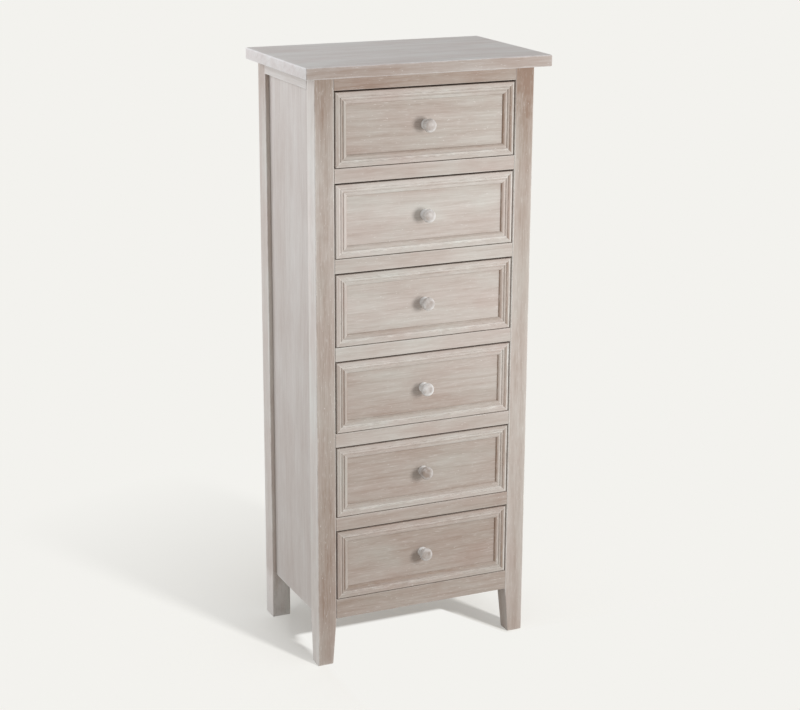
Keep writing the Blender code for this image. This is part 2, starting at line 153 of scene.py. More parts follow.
class Field:
    """A value in a node tree, with arithmetic that adds Math nodes."""

    __add__ = __radd__ = math_method("ADD")
    __sub__ = math_method("SUBTRACT")
    __rsub__ = math_method("SUBTRACT", swapped=True)
    __mul__ = __rmul__ = math_method("MULTIPLY")
    __truediv__ = math_method("DIVIDE")
    __pow__ = math_method("POWER")
    least = math_method("MINIMUM")
    most = math_method("MAXIMUM")

    def __init__(self, graph: "Graph", socket: bpy.types.NodeSocket) -> None:
        """Keep the tree and the output socket that the value comes from."""
        self.graph = graph
        self.socket = socket

    def __abs__(self) -> "Field":
        """The value without its sign."""
        return self.graph.math("ABSOLUTE", self)

    def clamped(self) -> "Field":
        """The value held between 0 and 1."""
        return self.graph.out("ShaderNodeClamp", inputs={0: self})

    def parts(self) -> tuple["Field", "Field", "Field"]:
        """The X, Y and Z of a vector."""
        split = self.graph.node("ShaderNodeSeparateXYZ", inputs={0: self})
        return tuple(Field(self.graph, split.outputs[axis]) for axis in range(3))

    def ramp(self, start: float, end: float) -> "Field":
        """A smooth climb from 0 to 1.

        Args:
            start: the value where the climb is at 0.
            end: the value where it is at 1, which may lie below the start.

        Returns:
            The climb.
        """
        climb = (start, end, 0.0, 1.0) if start <= end else (end, start, 1.0, 0.0)
        settings = {"interpolation_type": "SMOOTHSTEP"}
        return self.graph.out("ShaderNodeMapRange", settings, dict(enumerate((self, *climb))))


class Graph:
    """A shader or geometry node tree, and the few ways that nodes are added to it."""

    def __init__(self, tree: bpy.types.NodeTree) -> None:
        """Keep the tree that the nodes go into."""
        self.tree = tree

    def node(
        self, kind: str, settings: Settings | None = None, inputs: Inputs | None = None
    ) -> bpy.types.Node:
        """Add a node.

        Args:
            kind: the node's type.
            settings: its own settings, set first; "points" are a curve's.
            inputs: values or fields for its input sockets, by name or number.

        Returns:
            The new node.
        """
        made = self.tree.nodes.new(kind)
        for name, value in (settings or {}).items():
            if name == "points":
                self._set_points(made, value)
            else:
                setattr(made, name, value)
        for key, value in (inputs or {}).items():
            self.feed(made.inputs[key], value)
        return made

    @staticmethod
    def _set_points(node: bpy.types.Node, points: Pairs) -> None:
        """Give a curve node straight stretches.

        Args:
            node: the curve node.
            points: the points that the stretches join.
        """
        curve = node.mapping.curves[0]
        curve.points[0].location = points[0]
        curve.points[-1].location = points[-1]
        for point in points[1:-1]:
            curve.points.new(*point)
        for point in curve.points:
            point.handle_type = "VECTOR"
        node.mapping.update()

    def feed(self, socket: bpy.types.NodeSocket, value: object) -> None:
        """Give an input socket its value.

        Args:
            socket: the input socket.
            value: a field to link to it, or the socket's own value.
        """
        if isinstance(value, Field):
            self.tree.links.new(value.socket, socket)
        else:
            socket.default_value = value

    def out(
        self,
        kind: str,
        settings: Settings | None = None,
        inputs: Inputs | None = None,
        output: str | int = 0,
    ) -> Field:
        """Add a node and return one of its outputs, by name or number."""
        return Field(self, self.node(kind, settings, inputs).outputs[output])

    def shape(self, kind: str, settings: Settings | None = None, **inputs: object) -> Field:
        """Add a geometry node, with _ for a space in its inputs' names, and return its output."""
        named = {name.replace("_", " "): value for name, value in inputs.items()}
        return self.out(f"GeometryNode{kind}", settings, named)

    def math(self, operation: str, *values: object) -> Field:
        """A Math node on one or two values."""
        return self.out("ShaderNodeMath", {"operation": operation}, dict(enumerate(values)))

    def vector(self, *values: object) -> Field:
        """A vector of three values."""
        return self.out("ShaderNodeCombineXYZ", inputs=dict(enumerate(values)))

    def mixed(self, factor: object, first: object, second: object, blend: str = "MIX") -> Field:
        """Mix two colours.

        Args:
            factor: how much of the second.
            first: a field or an RGB triple.
            second: a field or an RGB triple.
            blend: the way of mixing.

        Returns:
            The mixed colour.
        """
        settings = {"data_type": "RGBA", "blend_type": blend, "clamp_factor": True}
        a, b = (c if isinstance(c, Field) else (*c, 1.0) for c in (first, second))
        return self.out("ShaderNodeMix", settings, {0: factor, 6: a, 7: b}, 2)


def new_material(name: str) -> tuple[Material, Graph, bpy.types.Node]:
    """Start a material.

    Args:
        name: the material's name.

    Returns:
        The material, its node graph and its Principled shader.
    """
    made = bpy.data.materials.new(name)
    made.use_nodes = True
    return made, Graph(made.node_tree), made.node_tree.nodes["Principled BSDF"]


@dataclass(frozen=True)
class Noise:
    """Noise drawn out along the grain, about 0.

    Attributes:
        along: features per metre along the grain.
        across: features per metre across it.
        detail: octaves of finer noise.
        rough: how strong the finer octaves are.
    """

    along: float
    across: float
    detail: float = 2
    rough: float = 0.5


@dataclass(frozen=True)
class Rings:
    """The lines of the growth rings, bent into long loops.

    Attributes:
        noise: the noise that bends them.
        bend: how strongly it does, in radians.
        lean: how much of the rings' depth lies along each axis across the grain.
        pitch: radians per metre across the grain.
        line: the heights of the wave at which a line starts and is full.
    """

    noise: Noise
    bend: float
    lean: tuple[float, float]
    pitch: float
    line: tuple[float, float]


@dataclass(frozen=True)
class Relief:
    """How a finish catches the light.

    Attributes:
        strength: the strength of its fine relief.
        depth: the relief's depth in metres.
        gloss: how strongly the surface mirrors.
    """

    strength: float
    depth: float
    gloss: float


class PieceMaterial:
    """A material in the making for one piece, with patterns that follow its grain."""

    # How far a pattern is shifted at most along each axis, in metres.
    SHIFT = 4.0

    def __init__(self, name: str, grain: Grain, seed: int) -> None:
        """Start the material.

        Args:
            name: the material's name.
            grain: the way the grain runs.
            seed: shifts the patterns, so that no two boards look cut from one place.
        """
        self.material, self.graph, self.shader = new_material(name)
        self.noises: dict[Noise, Field] = {}
        self.position = self.graph.out("ShaderNodeTexCoord", output="Object")
        draw = Random(seed)
        shift = tuple(draw.uniform(-self.SHIFT, self.SHIFT) for _ in range(3))
        inputs = {"Vector": self.position, "Location": shift, "Rotation": grain.value}
        self.place = self.graph.out("ShaderNodeMapping", {"vector_type": "POINT"}, inputs)

    def noise(self, kind: Noise) -> Field:
        """A noise on the piece, made once and then shared.

        Args:
            kind: the noise.

        Returns:
            Its value, from about -0.5 to 0.5.
        """
        if kind not in self.noises:
            scale = {0: self.place, 1: (kind.along, kind.across, kind.across)}
            spread = self.graph.out("ShaderNodeVectorMath", {"operation": "MULTIPLY"}, scale)
            inputs = {
                "Vector": spread, "Scale": 1.0, "Detail": kind.detail, "Roughness": kind.rough
            }
            self.noises[kind] = self.graph.out("ShaderNodeTexNoise", inputs=inputs) - 0.5
        return self.noises[kind]

    def blend(self, shares: dict[Noise, float]) -> Field:
        """The sum of some noises, each times its share."""
        first, *others = (self.noise(kind) * share for kind, share in shares.items())
        return sum(others, first)

    def rings(self, kind: Rings) -> Field:
        """The lines of the growth rings on the piece.

        Args:
            kind: the rings.

        Returns:
            1 on a line and 0 between lines.
        """
        _, y, z = self.place.parts()
        depth = (y * kind.lean[0] + z * kind.lean[1]) * kind.pitch
        return self.graph.math("SINE", depth + self.noise(kind.noise) * kind.bend).ramp(*kind.line)

    def edge_distance(self, box: Box) -> Field:
        """How far a point on a board's surface is from the board's nearest edge.

        Args:
            box: the board's corners.

        Returns:
            The distance in metres.
        """
        a, b, c = (
            (high - low) / 2 - abs(value - (low + high) / 2)
            for value, low, high in zip(self.position.parts(), *box)
        )
        return a.least(b).most(a.most(b).least(c))

    def table(self, points: Pairs, share: Field) -> Field:
        """The cover that a table gains or loses at a share of a length."""
        gain = self.graph.out("ShaderNodeFloatCurve", {"points": points}, {"Value": share})
        return gain - NO_GAIN

    def finished(self, colour: Field, roughness: Field, height: Field, relief: Relief) -> Material:
        """Lead what the patterns gave to the shader.

        Args:
            colour: the base colour.
            roughness: the roughness.
            height: the height of the fine relief.
            relief: how strongly that shows, and the gloss.

        Returns:
            The finished material.
        """
        inputs = {"Strength": relief.strength, "Distance": relief.depth, "Height": height}
        bump = self.graph.out("ShaderNodeBump", inputs=inputs)
        for name, value in (("Base Color", colour), ("Roughness", roughness), ("Normal", bump)):
            self.graph.feed(self.shader.inputs[name], value)
        self.shader.inputs["Specular IOR Level"].default_value = relief.gloss
        return self.material


@dataclass(frozen=True)
class Cover:
    """How much of the wood the wash hides on one piece, from 0 to 1, and where that changes.

    Attributes:
        base: the cover of a flat face.
        box: the board's corners, whose edges the wash gathers along.
        painted_shade_face: an axis, the level of a face across it, and the cover that it loses:
            painted shade that darkens that face against the board's others.
        gap_shade_level: a level on Y behind which the cover drops, as in the gaps round a drawer:
            partly less wash reaching in, partly painted shade in the gaps.
        upright: cover gained at shares of the board's height, with 0.5 for none; on the posts this
            partly paints in shade and light.
        across: cover gained at shares of a moulding's width, with 0.5 for none; partly the wash in
            the grooves, partly painted light and shade on the profile.
    """

    base: float
    box: Box | None = None
    painted_shade_face: tuple[int, float, float] | None = None
    gap_shade_level: float | None = None
    upright: Pairs | None = None
    across: Pairs | None = None


@dataclass(frozen=True)
class WashedWood:
    """Wood under a thin pale wash, which gathers along edges and in grooves; its cover also carries
    painted light and shade.

    Attributes:
        wood: the bare wood's colour.
        wash: the colour of the wash where it is thick.
        edge_width: how far from an edge the wash thickens, in metres.
        edge_cover: how much cover it gains there.
        streaks: how strongly the cover varies from streak to streak.
        clouds: how strongly its tint drifts from place to place.
    """

    wood: Triple = (0.300, 0.215, 0.165)
    wash: Triple = (0.800, 0.775, 0.745)
    edge_width: float = 0.0035
    edge_cover: float = 0.30
    streaks: float = 1.0
    clouds: float = 1.0

    # The noises that the wash and the wood's relief follow, with their shares.
    BOARD = Noise(1.1, 9)
    STREAK = Noise(5.5, 170, 4, 0.6)
    FIBRE = Noise(24, 620)
    PATCH = Noise(6, 14, 4, 0.6)
    LAYER = {BOARD: 0.30, Noise(2.4, 38, 4, 0.55): 0.26, STREAK: 0.30, FIBRE: 0.32, PATCH: 0.46}
    HEIGHT = {STREAK: 0.5, FIBRE: 0.8}
    LAYER_HEIGHT = 0.4
    RINGS = Rings(BOARD, 42, (0.7, 1.0), 260, (0.55, 1.0))
    RING_LOSS = 0.04

    # Small pale marks: the noise, where on it a mark starts and is full, and its strength.
    PORES = (Noise(55, 820, 1), (0.13, 0.25), 0.30)
    FLECKS = (Noise(130, 620, 1), (0.22, 0.28), 0.62)
    PORE_DEPTH = 0.5

    # The tint's drift, and the two colours that it drifts between.
    DRIFT = 2.6
    WARM = (1.035, 0.985, 0.975)
    COOL = (0.970, 1.000, 0.985)

    BARE_ROUGHNESS = 0.70
    WASH_SMOOTHING = 0.12
    RELIEF = Relief(0.35, 0.0003, 0.35)

    # Along edges: how far the wash wanders, and how wide and strong its faint border is.
    LOSS = Noise(34, 60, 4, 0.65)
    EDGE_WANDER = 1.6
    BORDER_WIDTH = 5
    BORDER_COVER = 0.16

    # Painted shade on one face ends, and painted shade in a gap starts, between two distances in
    # metres.
    FACE_RAMP = (0.0011, 0.0006)
    GAP_SHADE_RAMP = (0.0030, 0.0010)
    GAP_SHADE_COVER = 0.5

    # How strongly the tables of a board and of a moulding act, and how broken they look.
    UPRIGHT_LOSS = 2
    ACROSS_GAIN = 1.08
    ACROSS_LOSS = 2.2
    DASHES = Noise(75, 520)
    DASH_GAIN = 2.4
    MITRE_WIDTH = 0.0016
    MITRE_COVER = 0.16

    def material(self, name: str, grain: Grain, seed: int, cover: Cover) -> Material:
        """Make the finish for one piece.

        Args:
            name: the material's name.
            grain: the way the grain runs.
            seed: shifts the patterns.
            cover: where the wash is thick and thin.

        Returns:
            The material.
        """
        piece = PieceMaterial(name, grain, seed)
        graph = piece.graph
        layer = cover.base + piece.blend(self.LAYER) * self.streaks
        layer = self._bordered(layer - piece.rings(self.RINGS) * self.RING_LOSS, cover, piece)
        layer = self._drifted(layer, cover, piece).clamped()

        colour = graph.mixed(layer, self.wood, self.wash)
        tint = (piece.noise(self.PATCH) * (self.DRIFT * self.clouds) + 0.5).clamped()
        warm, cool = (graph.mixed(1.0, colour, by, "MULTIPLY") for by in (self.WARM, self.COOL))
        colour = graph.mixed(tint, warm, cool)
        for noise, ramp, strength in (self.PORES, self.FLECKS):
            colour = graph.mixed(piece.noise(noise).ramp(*ramp) * strength, colour, self.wash)

        noise, ramp, _ = self.PORES
        height = piece.blend(self.HEIGHT) - piece.noise(noise).ramp(*ramp) * self.PORE_DEPTH
        height = height + layer * self.LAYER_HEIGHT
        roughness = self.BARE_ROUGHNESS - layer * self.WASH_SMOOTHING
        return piece.finished(colour, roughness, height, self.RELIEF)

    def _bordered(self, layer: Field, cover: Cover, piece: PieceMaterial) -> Field:
        """Change the cover along a board's edges, and paint in shade on one face and in its gaps.

        Args:
            layer: the cover of a flat face.
            cover: where the wash is thick and thin.
            piece: the material in the making.

        Returns:
            The cover with those changes.
        """
        if cover.box:
            wander = piece.noise(self.LOSS) * (self.edge_width * self.EDGE_WANDER)
            near = piece.edge_distance(cover.box) + wander
            border = near.ramp(self.edge_width * self.BORDER_WIDTH, 0.0)
            layer = layer + near.ramp(self.edge_width, 0.0) * self.edge_cover
            layer = layer + border * (self.edge_cover * self.BORDER_COVER)
        # Painted shade: one face loses cover and is darker than the board's other faces.
        if cover.painted_shade_face:
            axis, level, loss = cover.painted_shade_face
            distance = abs(piece.position.parts()[axis] - level)
            layer = layer - distance.ramp(*self.FACE_RAMP) * loss
        # Partly painted shade: behind this level, in the gaps round a drawer, the cover drops to a
        # share of itself.
        if cover.gap_shade_level is not None:
            unshaded_share = (piece.position.parts()[1] - cover.gap_shade_level).ramp(*self.GAP_SHADE_RAMP)
            layer = layer * (unshaded_share * (1 - self.GAP_SHADE_COVER) + self.GAP_SHADE_COVER)
        return layer

    def _drifted(self, layer: Field, cover: Cover, piece: PieceMaterial) -> Field:
        """Change the cover up a board and across a moulding, and along its mitres; up a post and
        across a strip this partly paints in light and shade.

        Args:
            layer: the cover without those changes.
            cover: where the wash is thick and thin.
            piece: the material in the making.

        Returns:
            The cover with them.
        """
        loss = piece.noise(self.LOSS)
        # Up a post this paints in shade and light; see the posts' tables.
        if cover.upright:
            low, high = cover.box[0].z, cover.box[1].z
            share = (piece.position.parts()[2] - low) / (high - low)
            gain = piece.table(cover.upright, share)
            layer = layer + gain + loss * abs(gain) * self.UPRIGHT_LOSS
        # Across a strip this paints in the light and shade of its profile, on top of the wash.
        if cover.across:
            share, along, end = (
                piece.graph.out("ShaderNodeAttribute", {"attribute_name": name}, output="Fac")
                for name in STRIP_ATTRIBUTES
            )
            strength = self.ACROSS_GAIN + loss * self.ACROSS_LOSS
            strength = strength + piece.noise(self.DASHES) * self.DASH_GAIN
            layer = layer + piece.table(cover.across, share) * strength
            joint = end - abs(along) + loss * self.MITRE_WIDTH
            layer = layer + joint.ramp(self.MITRE_WIDTH, 0.0) * self.MITRE_COVER
        return layer


@dataclass(frozen=True)
class BareWood:
    """Planed wood with no finish, inside the chest.

    Attributes:
        early: the paler wood between the rings.
        late: the darker lines of the rings.
        roughness: the roughness of the planed face.
    """

    early: Triple = (0.640, 0.490, 0.330)
    late: Triple = (0.430, 0.290, 0.170)
    roughness: float = 0.68

    # The patterns, and how much each darkens the wood.
    RINGS = Rings(Noise(0.8, 7), 46, (1.0, 0.6), 420, (-0.4, 1.0))
    STREAK = Noise(4, 160, 4, 0.6)
    FIBRE = Noise(22, 1100)
    DEPTH = {STREAK: 0.6, FIBRE: 0.3, Noise(1.2, 11): 0.5}
    RING_DEPTH = 0.34
    BASE_DEPTH = 0.16

    # How wide and how dark the rubbed edges are.
    RUBBED_WIDTH = 0.0022
    RUBBED_SHARE = 0.28

    RING_HEIGHT = 0.2
    STREAK_ROUGHNESS = 0.12
    RELIEF = Relief(0.4, 0.0003, 0.3)

    def material(self, name: str, grain: Grain, seed: int, box: Box | None = None) -> Material:
        """Make the finish for one piece.

        Args:
            name: the material's name.
            grain: the way the grain runs.
            seed: shifts the patterns.
            box: the board's corners, whose edges are rubbed a little darker.

        Returns:
            The material.
        """
        piece = PieceMaterial(name, grain, seed)
        rings, streak = piece.rings(self.RINGS), piece.noise(self.STREAK)
        depth = rings * self.RING_DEPTH + piece.blend(self.DEPTH) + self.BASE_DEPTH
        colour = piece.graph.mixed(depth.clamped(), self.early, self.late)
        if box:
            rubbed = piece.edge_distance(box).ramp(self.RUBBED_WIDTH, 0.0)
            colour = piece.graph.mixed(rubbed * self.RUBBED_SHARE, colour, self.late)
        height = piece.noise(self.FIBRE) + streak - rings * self.RING_HEIGHT
        roughness = self.roughness + streak * self.STREAK_ROUGHNESS
        return piece.finished(colour, roughness, height, self.RELIEF)


@dataclass(frozen=True)
class PinSteel:
    """The dull steel of the small nails that hold the back panel.

    Attributes:
        colour: the steel's colour.
        tarnish: what its spots multiply that by.
        roughness: its roughness.
    """

    colour: Triple = (0.36, 0.35, 0.34)
    tarnish: Triple = (0.55, 0.50, 0.46)
    roughness: float = 0.42

    # The spots: the noise, where on it they start and are full, and how rough they are.
    SPOTS = Noise(900, 900)
    SPOT_RAMP = (-0.1, 0.2)
    SPOT_ROUGHNESS = 0.4

    def material(self, name: str) -> Material:
        """Make the finish.

        Args:
            name: the material's name.

        Returns:
            The material, spotted a little with tarnish.
        """
        piece = PieceMaterial(name, Grain.ALONG_X, Seed.STEEL)
        graph, shader = piece.graph, piece.shader
        spots = piece.noise(self.SPOTS)
        dark = tuple(part * share for part, share in zip(self.colour, self.tarnish))
        colour = graph.mixed(spots.ramp(*self.SPOT_RAMP), self.colour, dark)
        graph.feed(shader.inputs["Base Color"], colour)
        graph.feed(shader.inputs["Roughness"], spots * self.SPOT_ROUGHNESS + self.roughness)
        shader.inputs["Metallic"].default_value = 1.0
        return piece.material


WASHED_POST = WashedWood(edge_width=0.0028, edge_cover=0.48, clouds=0.7)
WASHED_RAIL = WashedWood(edge_width=0.002, edge_cover=0.18)
# The panel's border loses a little cover: painted shade at the foot of the moulding.
WASHED_PANEL = WashedWood(edge_width=0.0012, edge_cover=-0.06)
WASHED_STRIP = WashedWood(streaks=0.65)
WASHED_SIDE = WashedWood(wash=(0.792, 0.777, 0.760), edge_cover=0.16, streaks=0.8, clouds=0.2)
WASHED_TOP = WashedWood(wash=(0.795, 0.785, 0.785), streaks=0.9, clouds=0.5)
BARE = BareWood()
PLY = BareWood(early=(0.600, 0.455, 0.305), late=(0.440, 0.315, 0.200), roughness=0.72)


def taken_mesh(holder: Object) -> Mesh:
    """Take an object's finished mesh and delete the object.

    Args:
        holder: an object with modifiers.

    Returns:
        The mesh that its modifiers make.
    """
    graph = bpy.context.evaluated_depsgraph_get()
    made = bpy.data.meshes.new_from_object(holder.evaluated_get(graph))
    holder.modifiers.clear()
    bpy.data.objects.remove(holder, do_unlink=True)
    return made


def linked(name: str, data: bpy.types.ID) -> Object:
    """Put some data into the scene.

    Args:
        name: the object's name.
        data: a mesh, lamp or camera.

    Returns:
        The new object.
    """
    made = bpy.data.objects.new(name, data)
    bpy.context.scene.collection.objects.link(made)
    return made


def plain_mesh(bm: bmesh.types.BMesh, name: str) -> Mesh:
    """Turn a bmesh into mesh data.

    Args:
        bm: the bmesh, which is used up.
        name: the mesh's name.

    Returns:
        The mesh, without materials.
    """
    mesh = bpy.data.meshes.new(name)
    bm.to_mesh(mesh)
    bm.free()
    return mesh


def eased_mesh(mesh: Mesh, rounding: float = 0.0) -> Mesh:
    """Shade a mesh's eased edges smoothly while its flat faces stay flat.

    Args:
        mesh: the mesh, which is used up.
        rounding: a radius for edges that are still square, or 0.

    Returns:
        The finished mesh.
    """
    holder = linked("holder", mesh)
    mesh.shade_smooth()
    if rounding:
        bevel = holder.modifiers.new("rounding", "BEVEL")
        bevel.width = rounding
        bevel.segments = EDGE_SEGMENTS
        bevel.limit_method = "ANGLE"
    else:
        mesh.set_sharp_from_angle(angle=CREASE)
    holder.modifiers.new("even", "WEIGHTED_NORMAL").keep_sharp = True
    return taken_mesh(holder)


def merged_copy(node: str) -> Mesh:
    """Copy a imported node's mesh with its loose triangles joined into flat faces.

    Args:
        node: the node's name.

    Returns:
        The new mesh.
    """
    bm = bmesh.new()
    bm.from_mesh(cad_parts[node].data)
    bmesh.ops.remove_doubles(bm, verts=bm.verts, dist=MERGE_DISTANCE)
    bmesh.ops.dissolve_limit(bm, angle_limit=FLAT_ANGLE, verts=bm.verts, edges=bm.edges)
    return plain_mesh(bm, node)


def add_piece(
    name: str, mesh: Mesh, body: str, material: Material | None, node: str | None = None
) -> None:
    """Put a finished mesh into the scene.

    Args:
        name: the piece's name.
        mesh: its mesh, in place.
        body: the body it moves with.
        material: its material, or None where the mesh has its own.
        node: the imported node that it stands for.
    """
    if material:
        mesh.materials.clear()
        mesh.materials.append(material)
    piece = linked(name, mesh)
    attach(piece, body)
    if node:
        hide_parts(node)
    log.info("%s: %d faces", name, len(mesh.polygons))


class GeometryTree:
    """A Geometry Nodes tree with named inputs, whose result is taken as a plain mesh."""

    def __init__(self, name: str, sizes: tuple[str, ...], materials: tuple[str, ...]) -> None:
        """Start a tree.

        Args:
            name: the tree's name.
            sizes: the names of its inputs for lengths.
            materials: the names of its inputs for materials.
        """
        self.tree = bpy.data.node_groups.new(name, "GeometryNodeTree")
        self.tree.is_modifier = True
        self.graph = Graph(self.tree)
        sockets = [("Geometry", "OUTPUT", "Geometry")]
        sockets += [(size, "INPUT", "Float") for size in sizes]
        sockets += [(material, "INPUT", "Material") for material in materials]
        for label, way, kind in sockets:
            self.tree.interface.new_socket(
                name=label, in_out=way, socket_type=f"NodeSocket{kind}"
            )
        group = self.graph.node("NodeGroupInput")
        labels = (*sizes, *materials)
        self.given = {label: Field(self.graph, group.outputs[label]) for label in labels}

    def finish(self, shape: Field) -> None:
        """Lead the finished shape to the tree's output, with its instances made real."""
        real = self.graph.shape("RealizeInstances", Geometry=shape)
        self.graph.node("NodeGroupOutput", inputs={0: real})

    def mesh(self, values: dict[str, object]) -> Mesh:
        """Run the tree.

        Args:
            values: a value for each named input.

        Returns:
            The result as a plain mesh.
        """
        holder = linked("holder", bpy.data.meshes.new("holder"))
        run = holder.modifiers.new("run", "NODES")
        run.node_group = self.tree
        for item in self.tree.interface.items_tree:
            if item.in_out == "INPUT":
                run[item.identifier] = values[item.name]
        return taken_mesh(holder)


@dataclass
class Board:
    """One board of the carcass.

    Attributes:
        node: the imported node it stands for.
        finish: the kind of washed wood.
        grain: the way its grain runs.
        seed: shifts its patterns.
        cover: where the wash is thick and thin.
    """

    node: str
    finish: WashedWood
    grain: Grain
    seed: int
    cover: Cover

    def build(self) -> None:
        """Make the board's mesh and dress it."""
        wash = self.finish.material(f"{self.node}_wash", self.grain, self.seed, self.cover)
        mesh = eased_mesh(merged_copy(self.node))
        add_piece(f"{self.node}_washed", mesh, "carcass", wash, self.node)


@dataclass(frozen=True)
class PostWash:
    """The wash on one post.

    Attributes:
        side: the cover on its side faces.
        front: the cover on its front face, below the sides' as painted shade.
        upright: cover gained at shares of its height, with 0.5 for none, partly painted shade and
            light.
    """

    side: float
    front: float
    upright: Pairs


# The posts' tables partly paint in light and shade. The top loses cover in the top board's painted
# shadow, and the front-left post loses it lower down where the light falls off. The rear legs'
# front faces gain cover, as painted light where they sit in shade.
FRONT_LEFT_POST = PostWash(0.80, 0.29, (
    (0, 0.52), (0.05, 0.48), (0.12, 0.40), (0.28, 0.40), (0.50, 0.50), (0.75, 0.70),
    (0.86, 0.62), (0.95, 0.47), (1, 0.40),
))
FRONT_RIGHT_POST = PostWash(0.60, 0.31, (
    (0, 0.56), (0.25, 0.60), (0.50, 0.62), (0.80, 0.48), (0.95, 0.20), (1, 0.16),
))
REAR_POST = PostWash(0.64, 0.48, (
    (0, 0.98), (0.07, 0.96), (0.09, 0.60), (0.5, 0.53), (1, 0.38),
))


@dataclass
class Carcass:
    """The posts, rails, panels and top board, each with its own wash.

    Attributes:
        top: the cover on the top board.
        top_edge: the cover on its front edge, below the top's as painted shade.
        panel: the cover on the side panels.
        side_rail: the cover on the side rails.
        rear_rail: the cover on the rear bottom rail.
        rails: the cover on the front rails, from the top rail down; the low covers at the top and
            the bottom partly paint in shade, under the top board and near the floor.
        posts: the wash on each post.
    """

    top: float = 0.76
    top_edge: float = 0.27
    panel: float = 0.65
    side_rail: float = 0.66
    rear_rail: float = 0.34
    rails: tuple[float, ...] = (0.22, 0.44, 0.48, 0.51, 0.49, 0.33, 0.29)
    posts: tuple[tuple[str, PostWash], ...] = (
        ("front_left", FRONT_LEFT_POST), ("front_right", FRONT_RIGHT_POST),
        ("rear_left", REAR_POST), ("rear_right", REAR_POST),
    )

    def build(self) -> None:
        """Make every board of the carcass."""
        self._front_shaded(
            "top_board", WASHED_TOP, Grain.ALONG_X, Seed.TOP_BOARD, (self.top, self.top_edge)
        )
        for number, (place, wash) in enumerate(self.posts):
            self._front_shaded(
                f"post_{place}", WASHED_POST, Grain.ALONG_Z, Seed.POST + number,
                (wash.side, wash.front), wash.upright,
            )
        for number, side in enumerate(("left", "right")):
            for node, grain, base in (
                (f"side_panel_{side}", Grain.ALONG_Z, self.panel),
                (f"side_top_rail_{side}", Grain.ALONG_Y, self.side_rail),
            ):
                cover = Cover(base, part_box(node))
                Board(node, WASHED_SIDE, grain, Seed.SIDE + 2 * number, cover).build()
        self._rails()

    @staticmethod
    def _front_shaded(
        node: str, finish: WashedWood, grain: Grain, seed: int,
        covers: tuple[float, float], upright: Pairs | None = None,
    ) -> None:
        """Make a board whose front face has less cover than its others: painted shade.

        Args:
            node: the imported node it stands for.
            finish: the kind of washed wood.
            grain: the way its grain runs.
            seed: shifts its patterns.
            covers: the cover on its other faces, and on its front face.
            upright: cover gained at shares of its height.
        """
        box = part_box(node)
        # Painted shade: the front face loses the difference between the two covers.
        face = (1, box[0].y, covers[0] - covers[1])
        Board(node, finish, grain, seed, Cover(covers[0], box, face, upright=upright)).build()

    def _rails(self) -> None:
        """Make the rails of the front, and the rear bottom rail."""
        dividers = [f"divider_rail_{number}" for number in range(1, DRAWER_COUNT)]
        nodes = ["front_top_rail", *dividers, "front_bottom_rail"]
        for number, (node, base) in enumerate(zip(nodes, self.rails)):
            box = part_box(node)
            cover = Cover(base, box, gap_shade_level=box[0].y)
            Board(node, WASHED_RAIL, Grain.ALONG_X, Seed.RAIL + number, cover).build()
        rear = Cover(self.rear_rail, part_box("rear_bottom_rail"))
        Board("rear_bottom_rail", WASHED_RAIL, Grain.ALONG_X, Seed.REAR_RAIL, rear).build()


